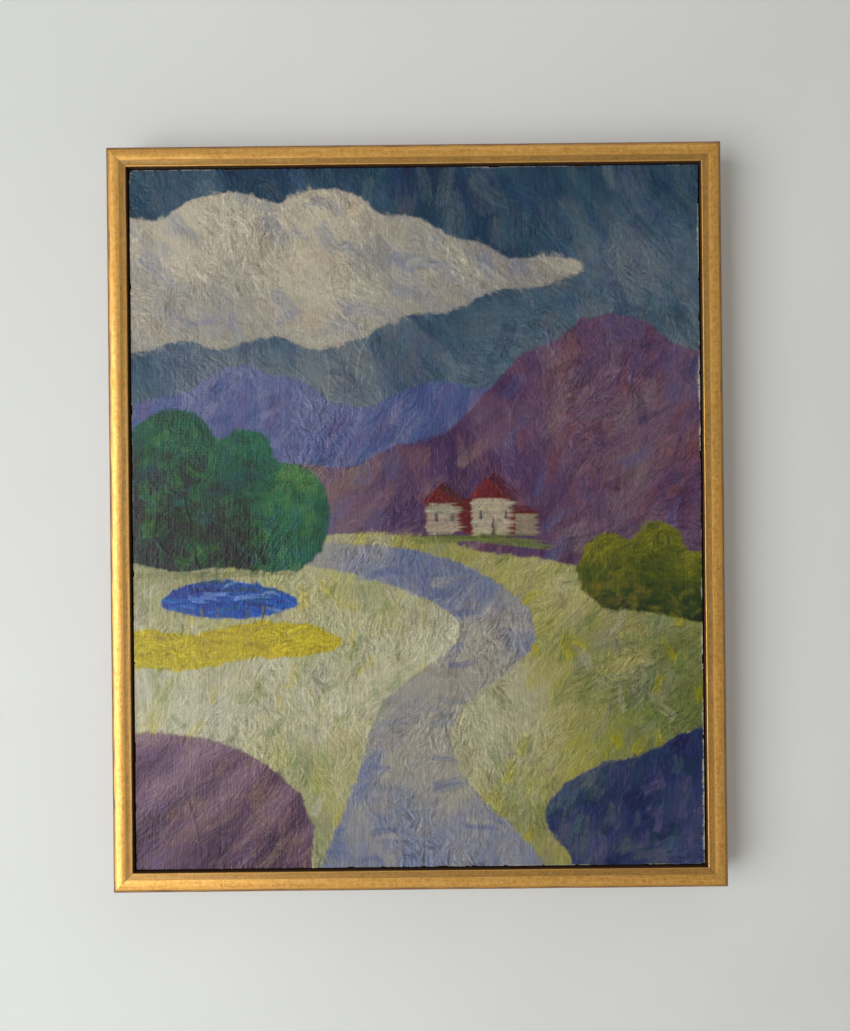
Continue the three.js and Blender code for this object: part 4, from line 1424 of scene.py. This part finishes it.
@dataclass
class Moulding:
    """The gilded float frame: four mitred lengths with a domed face, a shallow cove and a rubbed arris."""

    face_width: float = 17.6
    depth: float = 34.0
    foot_reach: float = 22.0
    foot_thickness: float = 8.0
    edge_round: float = 4.4
    cove_start: float = 11.5
    cove_sweep: float = 3.0
    cove_depth: float = 1.0
    dome_rise: float = 0.4
    arris: float = 0.75
    mitre_gap: float = 0.12
    station: float = 3.4
    waviness: float = 0.10
    wave_length: float = 14
    apart: float = 900.0
    seed: int = 11
    leaf: GiltBole = GiltBole()
    wood: PlanedWood = PlanedWood("obeche, planed", "CDB389", "B99C6E", "X", 8 * MM, 300 * MM)

    @staticmethod
    def curve(start: tuple, control: tuple, end: tuple, steps: int) -> list:
        """Points along a quadratic curve, without its start.

        Args:
            start: The start.
            control: The control point.
            end: The end.
            steps: How many points.

        Returns:
            The points.
        """
        t = np.linspace(0, 1, steps + 1)[1:, None]
        a, b, c = (np.array(point) for point in (start, control, end))
        return list(a * (1 - t) ** 2 + 2 * b * t * (1 - t) + c * t**2)

    def section(self) -> tuple[Array, Array]:
        """Works out the moulding's section.

        Returns:
            Its points, as inset and height in millimetres, and for each how rubbed, dull and dark it is.
        """
        face, foot, reach = self.face_width, self.foot_thickness, self.face_width + self.foot_reach
        side_top, shoulder = self.depth - self.edge_round, self.depth - self.dome_rise
        inner, floor = self.face_width - self.arris, self.depth - self.cove_depth
        dome_start, dome_end = (self.edge_round, shoulder), (self.cove_start, shoulder)
        crown = ((self.edge_round + self.cove_start) / 2, self.depth + self.dome_rise)
        turn = self.curve((0, side_top), (0, shoulder - 0.2), dome_start, 14)
        turns = np.linspace(math.pi / 2, 0, 8)[1:]
        centre = floor - self.arris
        arris = [(inner + self.arris * math.cos(a), centre + self.arris * math.sin(a)) for a in turns]
        # Down the inner wall, out over the foot, and back along the side to the wall.
        bare = [(face, floor - 1.2), (face, floor - 2.8), (face, 20), (face, foot)]
        bare += [(face + 8, foot), (reach, foot), (reach, 0), (reach / 2, 0)]
        runs = [
            (Wear.SIDE, [(0, z) for z in np.linspace(0, side_top, 7)]),
            (Wear.OUTER_TURN, turn[:9]),
            (Wear.UPPER_TURN, turn[9:12]),
            (Wear.SHOULDER, turn[12:]),
            (Wear.DOME, self.curve(dome_start, crown, dome_end, 12)),
            (Wear.COVE, self.curve(dome_end, (self.cove_start + self.cove_sweep, floor), (inner, floor), 12)),
            (Wear.ARRIS, arris[:5]),
            (Wear.INNER_TURN, arris[5:]),
            (Wear.BARE, bare),
        ]
        points = [point for _, part in runs for point in part]
        return np.array(points, float), np.array([wear.value for wear, part in runs for _ in part])

    def build_length(self, side: Side, materials: list) -> Piece:
        """Makes one side of the frame.

        Args:
            side: Which side.
            materials: The gilding, and the bare wood of the back.

        Returns:
            The piece.
        """
        section, wear = self.section()
        order = list(Side).index(side)
        rng = np.random.default_rng(self.seed + order)
        half = SIZES.across(side) / MM / 2
        count = int(2 * half / self.station)
        share = np.linspace(-1, 1, count)[:, None]
        inset, height = section[:, 0][None, :], section[:, 1][None, :]
        x = share * (half - inset - self.mitre_gap)
        wave = self.waviness * np.abs(drift((count, len(section)), self.wave_length, rng)) * (1 - share**8)
        front = (height > self.foot_thickness + 1).astype(float)
        y = SIZES.frame_back / MM - height + wave * front
        z = SIZES.outwards(side) / MM / 2 - inset - 0.5 * wave * front
        points = np.stack([x, y + 0 * x, z + 0 * x], -1) * MM
        points = side.turned(points) + [0, 0, SIZES.centre_z]
        points, faces = points.reshape(-1, 3), skin(count, len(section))
        piece = new_piece(f"moulding_{side.word}", points, faces, materials, smooth=42)
        girth = np.concatenate([[0], np.cumsum(np.hypot(*np.diff(section, axis=0).T))])
        run = np.stack([x, np.broadcast_to(girth, x.shape), np.full_like(x, self.apart * order)], -1)
        add_attribute(piece, "run", "FLOAT_VECTOR", run.reshape(-1, 3) * MM)
        shade = np.concatenate([wear, np.ones((len(wear), 1))], 1)
        add_attribute(piece, "wear", "FLOAT_COLOR", np.tile(shade, (count, 1)))
        normals = np.zeros(len(piece.data.polygons) * 3, np.float32)
        piece.data.polygons.foreach_get("normal", normals)
        behind = normals.reshape(-1, 3)[:, 1] > 0.9
        piece.data.polygons.foreach_set("material_index", behind.astype(np.int32))
        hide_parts(f"frame_rail_{side.word}")
        return piece

    def build(self) -> list[Piece]:
        """Makes the four lengths."""
        leaf, level = self.leaf.build(), self.wood.build()
        upright = replace(self.wood, name=self.wood.name + ", upright", along="Z").build()
        return [self.build_length(side, [leaf, upright if side.upright else level]) for side in Side]


@dataclass
class Canvas:
    """Primed linen drawn over the stretcher: a front, four sides, and a hem turned onto the bars' backs."""

    thickness: float = 1.0
    hem: float = 30.0
    corner: float = 2.0
    columns: int = 50
    rows: int = 62
    corner_steps: int = 5
    fray: float = 0.9
    waviness: float = 0.12
    fold_steps: int = 14
    seed: int = 23
    staple_gap: float = 58.0
    staple_inset: float = 25.0
    raw: PlainLinen = PlainLinen("linen, woven, unprimed", "8E7F64", "CDBB98", "F2ECDD")
    primed: PlainLinen = PlainLinen("linen, primed with gesso", "8E8570", "B9AF9A", "D9CFB6")
    staple_finish: PlatedSteel = PlatedSteel("steel wire, galvanised", "B4B6B8", "7C7A76", 0.38)

    def ring(self, inset: float, level: float) -> Array:
        """Points round the picture's outline, the same number for every ring.

        Args:
            inset: How far the ring lies inside the picture's edge.
            level: Its y.

        Returns:
            The points, in millimetres about the picture's centre.
        """
        rounding = max(self.corner - inset, 0.15)
        reach = np.array([SIZES.picture_width, SIZES.picture_height]) / MM / 2 - inset - rounding
        points = []
        for quarter, way in enumerate(((1, 1), (-1, 1), (-1, -1), (1, -1))):
            turns = (quarter + np.linspace(0, 1, self.corner_steps)) * math.pi / 2
            arc = reach * way + rounding * np.stack([np.cos(turns), np.sin(turns)], -1)
            following = reach * ((-1, 1), (-1, -1), (1, -1), (1, 1))[quarter]
            end = following + rounding * np.array([math.cos(turns[-1]), math.sin(turns[-1])])
            steps = (self.columns, self.rows)[quarter % 2]
            share = (np.arange(1, steps) / steps)[:, None]
            points.extend([*arc, *(arc[-1] + (end - arc[-1]) * share)])
        flat = np.array(points)
        return np.stack([flat[:, 0], np.full(len(flat), level), flat[:, 1]], -1)

    def profile(self) -> list[tuple[float, float]]:
        """The cloth's section from the middle of its front, over the side and hem, and back inside."""
        front, back, thick, fold = SIZES.canvas_front / MM, SIZES.canvas_back / MM, self.thickness, 1.0
        turns = np.linspace(0, math.pi / 2, 4)
        section = [(3, front)]
        section += [(fold * (1 - math.sin(a)), front + fold * (1 - math.cos(a))) for a in turns]
        section += [(0, y) for y in np.linspace(front + fold, back - fold, 8)[1:]]
        section += [(fold * (1 - math.sin(a)), back - fold * (1 - math.cos(a))) for a in turns[-2::-1]]
        section += [(inset, back) for inset in np.linspace(4, self.hem, 6)]
        section += [(inset, back - thick) for inset in (self.hem, 16, thick)]
        return section + [(thick, front + thick), (3, front + thick)]

    def build(self) -> Piece:
        """Makes the cloth as one sheet with thickness, and its staples and folded corners.

        Returns:
            The cloth.
        """
        rng = np.random.default_rng(self.seed)
        section = self.profile()
        rings = np.array([self.ring(inset, level) for inset, level in section])
        raw = [k for k, (inset, _) in enumerate(section) if inset == self.hem]
        edge = rings[raw[0]][:, [0, 2]]
        outwards = np.sign(edge) * (np.abs(edge) > np.abs(edge).max(0) - 0.2)
        frayed = self.fray * rng.standard_normal((len(edge), 1))
        rings[np.ix_(raw, range(rings.shape[1]), [0, 2])] += outwards * frayed
        hem = [k for k, (inset, _) in enumerate(section) if inset > 3.5]
        rings[hem, :, 1] += self.waviness * drift((len(hem), rings.shape[1]), 5, rng)
        points, faces = placed(rings.reshape(-1, 3)), skin(*rings.shape[:2], way=-1)
        materials = [self.raw.build(), self.primed.build()]
        cloth = new_piece("picture_canvas", points, faces, materials, smooth=50)
        primed = np.zeros(len(cloth.data.polygons), np.int32)
        primed[: hem[0] * rings.shape[1]] = 1
        # The face that closes the front is primed too.
        primed[-2] = 1
        cloth.data.polygons.foreach_set("material_index", primed)
        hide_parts("linen_canvas")
        extras = [self.build_staples(), self.build_folds(cloth.data.materials[0])]
        return cloth

    def build_folds(self, linen: Material) -> Piece:
        """Makes the folds of cloth that lie over each other at the back's four corners.

        Args:
            linen: The cloth's material.

        Returns:
            One piece with all four.
        """
        rng = np.random.default_rng(self.seed + 2)
        back, steps = SIZES.canvas_back / MM, self.fold_steps
        points, groups = [], []
        for sx in (-1, 1):
            for sz in (-1, 1):
                corner = np.array([SIZES.picture_width / MM / 2, SIZES.picture_height / MM / 2]) - 1.4
                share = np.linspace(0, 1, steps)
                slope = np.stack([share, share], -1) * (self.hem - 2) + 0.25 * drift((steps, 2), 4, rng)
                base = np.stack([share * (self.hem - 2), 0.3 * np.ones(steps)], -1)
                rows = [base + (slope - base) * t for t in (0, 0.25, 0.5, 0.75, 0.96, 1)]
                lift = (0.05, 0.5, 0.62, 0.66, 0.7, 0.1)
                sheet = [
                    np.stack([sx * (corner[0] - x), np.full(steps, back + up), sz * (corner[1] - z)], -1)
                    for (x, z), up in zip((row.T for row in rows), lift)
                ]
                sheet.append(sheet[0] - [0, 0.15, 0])
                numbers = np.arange(len(sheet) * steps).reshape(len(sheet), steps) + sum(map(len, points))
                ends = [numbers[:, 0][None, :: -sx * sz], numbers[:, -1][None, :: sx * sz]]
                numbers = np.concatenate([numbers, numbers[:1]])
                groups.extend([loft(numbers, closed_rings=False)[:, :: -sx * sz], *ends])
                points.append(np.concatenate(sheet))
        points = placed(np.concatenate(points))
        return new_piece("canvas_folds", points, groups, [linen], smooth=60)

    def build_staples(self) -> Piece:
        """Makes the wire staples along the hem.

        Returns:
            One piece with all of them.
        """
        rng = np.random.default_rng(self.seed + 1)
        leg, crown, radius = -0.8, 5.0, 0.35
        bend = crown - 0.4
        path = [(-crown, leg), (-crown, 0.1), (-bend, 0.45), (bend, 0.45), (crown, 0.1), (crown, leg)]
        one, faces = sweep(np.array([(x, y, 0.0) for x, y in path]), radius, 8, closed=False)
        points, groups = [], []
        for side in Side:
            size = (SIZES.picture_width, SIZES.picture_height)
            width, length = size if side.upright else size[::-1]
            count = int(length / MM / self.staple_gap)
            for k in range(count):
                along = (k - (count - 1) / 2) * self.staple_gap + rng.uniform(-4, 4)
                tilt = rng.uniform(-0.25, 0.25)
                turned = one @ np.array(Matrix.Rotation(tilt, 3, "Y")).T
                driven = turned + [along, SIZES.canvas_back / MM, width / MM / 2 - self.staple_inset]
                groups.extend(group + sum(len(p) for p in points) for group in faces)
                points.append(placed(side.turned(driven)))
        wire = [self.staple_finish.build()]
        return new_piece("canvas_staples", np.concatenate(points), groups, wire)


def sweep(path: Array, radius: float, sides: int, closed: bool) -> tuple[Array, list]:
    """Sweeps a round wire along a path that lies in one plane.

    Args:
        path: The points that the wire follows, with no turn back on itself.
        radius: The wire's radius.
        sides: How many sides it has.
        closed: Whether the path joins up with its start.

    Returns:
        The wire's points, and its faces with a cap at each end if it isn't closed.
    """
    ahead = np.roll(path, -1, 0) - path
    behind = path - np.roll(path, 1, 0)
    if not closed:
        ahead[-1], behind[0] = behind[-1], ahead[0]
    tangent = sum(step / np.linalg.norm(step, axis=1)[:, None] for step in (ahead, behind))
    tangent /= np.linalg.norm(tangent, axis=1)[:, None]
    flat = np.cross(path[1] - path[0], path[len(path) // 2] - path[0])
    flat /= np.linalg.norm(flat)
    beside = np.cross(flat, tangent)
    turn = np.linspace(0, 2 * math.pi, sides, endpoint=False)
    rings = (
        path[:, None, :]
        + radius * np.cos(turn)[None, :, None] * beside[:, None, :]
        + radius * np.sin(turn)[None, :, None] * flat[None, None, :]
    )
    if not closed:
        return rings.reshape(-1, 3), skin(len(path), sides)
    numbers = np.arange(len(path) * sides).reshape(len(path), sides)
    return rings.reshape(-1, 3), [loft(np.concatenate([numbers, numbers[:1]]))]


def lathe(profile: list, sides: int) -> tuple[Array, list]:
    """Turns a profile round the Y axis.

    Args:
        profile: Radius and y of each point, from one end of the axis to the other.
        sides: How many sides the turned piece has.

    Returns:
        Its points, and its faces with a cap at each end.
    """
    outline = np.array(profile, float)
    turn = np.linspace(0, 2 * math.pi, sides, endpoint=False)
    x = outline[:, 0][:, None] * np.cos(turn)[None, :]
    z = outline[:, 0][:, None] * np.sin(turn)[None, :]
    y = np.broadcast_to(outline[:, 1][:, None], x.shape)
    return np.stack([x, y, z], -1).reshape(-1, 3), skin(*x.shape, way=-1)


@dataclass
class Stretcher:
    """The pine bars under the canvas and the beech keys in their corners, kept as the CAD model has them."""

    nodes: dict
    edge: float = 0.35 * MM
    pine: PlanedWood = PlanedWood("pine, planed", "DCC194", "B5874F", "X")
    beech: PlanedWood = PlanedWood("beech, sawn", "C79E70", "9C7045", "X", 2.2 * MM, 60 * MM)

    def dress(self) -> list[Piece]:
        """Gives the bars and keys their wood."""
        level = [wood.build() for wood in (self.pine, self.beech)]
        upright = [
            replace(wood, name=wood.name + ", upright", along="Z").build() for wood in (self.pine, self.beech)
        ]
        woods = {}
        for side in Side:
            along, square = (upright, level) if side.upright else (level, upright)
            woods[f"stretcher_bar_{side.word}"] = along[0]
            for k in (1, 2):
                woods[f"stretcher_key_{side.word}_{k}"] = square[1]
        for name, wood in woods.items():
            dress_node(self.nodes[name], wood, self.edge)
        return [self.nodes[name] for name in woods]


@dataclass
class Fixings:
    """The screws, hanging rings, straps and bumpers on the back."""

    nodes: dict
    screw_radius: float = 1.6
    head_width: float = 2.2
    head_height: float = 1.1
    screw_sides: int = 36
    thread_pitch: float = 0.7
    recess_half: float = 0.5
    recess_arm: float = 2.2
    recess_depth: float = 0.9
    ring_wire: float = 1.25
    ring_span: float = 17.5
    ring_reach: float = 17.0
    ring_corner: float = 2.5
    ring_lean: float = math.radians(4)
    ring_sides: int = 20
    bumper_sides: int = 44
    canvas_screw: float = 20
    strap_screw: float = 13
    strap_edge: float = 0.25 * MM
    zinc: PlatedSteel = PlatedSteel("steel, zinc plated", "C4C7CA", "8E9092")
    brass: PlatedSteel = PlatedSteel("steel, brass plated", "C8A45A", "8A6A36", 0.30)
    rubber: MouldedRubber = MouldedRubber()

    def screw(self, length: float) -> tuple[Array, list]:
        """Makes a pan-head screw with a crossed recess and a threaded shank.

        Args:
            length: The shank's length, in millimetres.

        Returns:
            Its points and faces, its head standing on the plane y = 0.
        """
        radius = self.screw_radius
        head, tall = radius * self.head_width, radius * self.head_height
        turns, pitch = range(int((length - 3.2) / self.thread_pitch)), self.thread_pitch
        thread = [(radius * (1.0 if k % 2 else 0.82), -length + 3 + k * pitch) for k in turns]
        crown = [(head * math.cos(a), tall * (0.45 + 0.55 * math.sin(a))) for a in np.linspace(0, 1.45, 9)]
        centre = [(head * share, tall) for share in np.linspace(0.66, 0.04, 12)]
        crown = [(r, y) for r, y in crown if r > head * 0.70]
        shank = [(0.05, -length), (radius * 0.8, -length + 3), *thread, (radius, 0)]
        points, faces = lathe([*shank, (head, 0), *crown, *centre], self.screw_sides)
        across, deep = np.abs(points[:, [0, 2]]).min(1), np.abs(points[:, [0, 2]]).max(1)
        sunk = (points[:, 1] > 0.8 * tall) & (across < self.recess_half) & (deep < self.recess_arm)
        points[sunk, 1] -= self.recess_depth
        return points, faces

    def build_screw(self, name: str, node: str, length: float, material: Material, slot: str) -> None:
        """Puts a screw in the place of a CAD screw.

        Args:
            name: The piece's name.
            node: The CAD screw's name.
            length: The shank's length, in millimetres.
            material: The plating.
            slot: The record's material slot; not used.
        """
        low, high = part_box(node)
        points, faces = self.screw(length)
        seat = high.y - self.head_height * self.screw_radius * MM
        turn = Matrix.Rotation((low.x * 977 + low.z * 613) % math.pi, 3, "Y")
        points = points @ np.array(turn).T * MM + [(low.x + high.x) / 2, seat, (low.z + high.z) / 2]
        piece = new_piece(name, points, faces, [material], smooth=30)
        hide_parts(node)

    def ring_path(self) -> Array:
        """The closed D that the ring's wire follows, its straight side on the origin."""
        half, corner = self.ring_span / 2, self.ring_corner
        arcs = (
            (half - corner, corner, corner, np.linspace(-math.pi / 2, 0, 9)[1:]),
            (0.0, self.ring_reach - half, half, np.linspace(0, math.pi, 41)),
            (-half + corner, corner, corner, np.linspace(math.pi, 1.5 * math.pi, 9)[:-1]),
        )
        path = [(x, 0.0, 0.0) for x in np.linspace(-half + corner, half - corner, 10)]
        for x, z, radius, turns in arcs:
            path += [(x + radius * math.cos(a), 0.0, z + radius * math.sin(a)) for a in turns]
        return np.array(path)

    def build_ring(self, side: str, material: Material, pivot: Vector) -> None:
        """Makes one hanging ring.

        Args:
            side: "left" or "right".
            material: The plating.
            pivot: Where the ring's straight side turns in its strap.
        """
        points, faces = sweep(self.ring_path(), self.ring_wire, self.ring_sides, closed=True)
        lean = np.array(Matrix.Rotation(self.ring_lean, 3, "X"))
        points = points @ lean.T * MM + np.array(pivot)
        ring = new_piece(f"ring_{side}", points, faces, [material], f"ring_{side}", 60)
        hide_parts(f"hanger_ring_{side}")

    def build_bumper(self, side: str, material: Material) -> None:
        """Makes one rubber foot.

        Args:
            side: "left" or "right".
            material: The rubber.
        """
        low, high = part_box(f"wall_bumper_{side}")
        radius, tall = (high.x - low.x) / 2 / MM, (high.y - low.y) / MM
        turns = np.linspace(0, 1.45, 8)
        lip = [(radius - 2 + 2 * math.cos(a) ** 0.8, tall - 2 + 2 * math.sin(a)) for a in turns]
        hollow = [(radius * 0.4, tall), (radius * 0.28, tall - 0.5), (0.05, tall - 0.6)]
        profile = [(0.05, 0), (radius - 0.3, 0), (radius, 0.3), *lip, *hollow]
        points, faces = lathe(profile, self.bumper_sides)
        points = points * MM + [(low.x + high.x) / 2, low.y, (low.z + high.z) / 2]
        bumper = new_piece(f"bumper_{side}", points, faces, [material], smooth=40)
        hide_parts(f"wall_bumper_{side}")

    def build(self, joints: list) -> None:
        """Makes every fixing, and plates the straps that stay as they are.

        Args:
            joints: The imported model's joints, which say where the rings turn.
        """
        zinc, brass, rubber = self.zinc.build(), self.brass.build(), self.rubber.build()
        pivots = {joint["name"]: Vector(joint["pos_m"]) for joint in joints}
        for side in Side:
            for k in (1, 2):
                names = f"screw_{side.word}_{k}", f"canvas_screw_{side.word}_{k}"
                self.build_screw(*names, self.canvas_screw, zinc, "zinc_screw")
        for side in ("left", "right"):
            for k in (1, 2):
                names = f"strap_screw_{side}_{k}", f"hanger_screw_{side}_{k}"
                self.build_screw(*names, self.strap_screw, brass, "brassed_hanger")
            self.build_ring(side, brass, pivots[f"ring_{side}_swing"])
            self.build_bumper(side, rubber)
            dress_node(self.nodes[f"hanger_strap_{side}"], brass, self.strap_edge)


@dataclass
class Studio:
    """The plain room: a pale wall behind the picture, a pale floor, soft light and the camera."""

    wall_size: float = 5.0
    floor_z: float = -1.9
    camera_place: tuple[float, float, float] = (0.007, -0.790, -0.1762)
    camera_roll: float = 0.6
    lens: float = 36.3
    wall_gap: float = 0.0006
    room_light: float = 0.345
    wall: PaintedPlaster = PaintedPlaster("emulsion on plaster, rolled", "E5E6E4", "DDDEDB", one_sided=True)
    floor: PaintedPlaster = PaintedPlaster("pale floor, painted", "D6D3CC", "CECBC4")

    def plane(self, name: str, corners: list, finish: PaintedPlaster) -> None:
        """Makes one large flat backdrop.

        Args:
            name: Its name.
            corners: Its four corners.
            finish: Its finish.
        """
        mesh = bpy.data.meshes.new(name)
        mesh.from_pydata(corners, [], [(0, 1, 2, 3)])
        mesh.materials.append(finish.build())
        backdrop = bpy.data.objects.new(name, mesh)
        bpy.context.scene.collection.objects.link(backdrop)

    def light(self, name: str, place: tuple, aim: tuple, size: tuple, power: float, colour: str) -> None:
        """Adds one soft light.

        Args:
            name: Its name.
            place: Where it stands.
            aim: What it points at.
            size: Its width and height.
            power: Its power in watts.
            colour: Its colour.
        """
        data = bpy.data.lights.new(name, "AREA")
        data.shape = "RECTANGLE"
        data.size, data.size_y = size
        data.energy = power
        data.color = linear(colour)[:3]
        lamp = bpy.data.objects.new(name, data)
        lamp.location = place
        lamp.rotation_euler = (Vector(aim) - Vector(place)).to_track_quat("-Z", "Y").to_euler()
        bpy.context.scene.collection.objects.link(lamp)

    def build(self) -> None:
        """Makes the room and the camera."""
        half, back = self.wall_size / 2, self.wall_gap
        low, high = self.floor_z, self.floor_z + self.wall_size
        corners = [(-half, back, low), (half, back, low), (half, back, high), (-half, back, high)]
        self.plane("studio_wall", corners, self.wall)
        wide = self.wall_size
        corners = [(-wide, -wide, low), (wide, -wide, low), (wide, wide, low), (-wide, wide, low)]
        self.plane("studio_floor", corners, self.floor)
        centre = (0, 0, SIZES.centre_z)
        self.light("window_left", (-2.0, -2.1, -0.70), centre, (2.0, 2.7), 74, "F8FBFF")
        self.light("fill_above", (0.2, -1.6, 2.2), centre, (2.0, 1.2), 5, "F2F4FF")
        self.light("fill_behind", (1.1, 1.9, 0.6), centre, (1.8, 1.8), 34, "FFFFFF")
        world = bpy.data.worlds.new("pale room")
        world.use_nodes = True
        background = world.node_tree.nodes["Background"]
        background.inputs["Color"].default_value = linear("F6F4EE")
        background.inputs["Strength"].default_value = self.room_light
        scene = bpy.context.scene
        scene.world = world
        scene.view_settings.view_transform = "Standard"
        data = bpy.data.cameras.new("camera")
        data.lens = self.lens
        data.sensor_fit = "HORIZONTAL"
        data.clip_start = 0.01
        camera = bpy.data.objects.new("camera", data)
        camera.location = self.camera_place
        camera.rotation_euler = (math.pi / 2, math.radians(self.camera_roll), 0)
        scene.collection.objects.link(camera)
        scene.camera = camera


def main() -> None:
    """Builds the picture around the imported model, piece by piece."""
    logging.basicConfig(level=logging.INFO, format="%(name)s: %(message)s")
    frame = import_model()
    nodes = frame["nodes"]
    Studio().build()
    log.info("studio ready")
    for piece in Moulding().build():
        log.info("made %s", piece.name)
    log.info("made %s", Canvas().build().name)
    for piece in Stretcher(nodes).dress():
        log.info("dressed %s", piece.name)
    Fixings(nodes).build(frame["joints"])
    log.info("made the fixings")
    for piece in PaintFilm(nodes).build():
        log.info("made %s", piece.name)


if __name__ == "__main__":
    main()
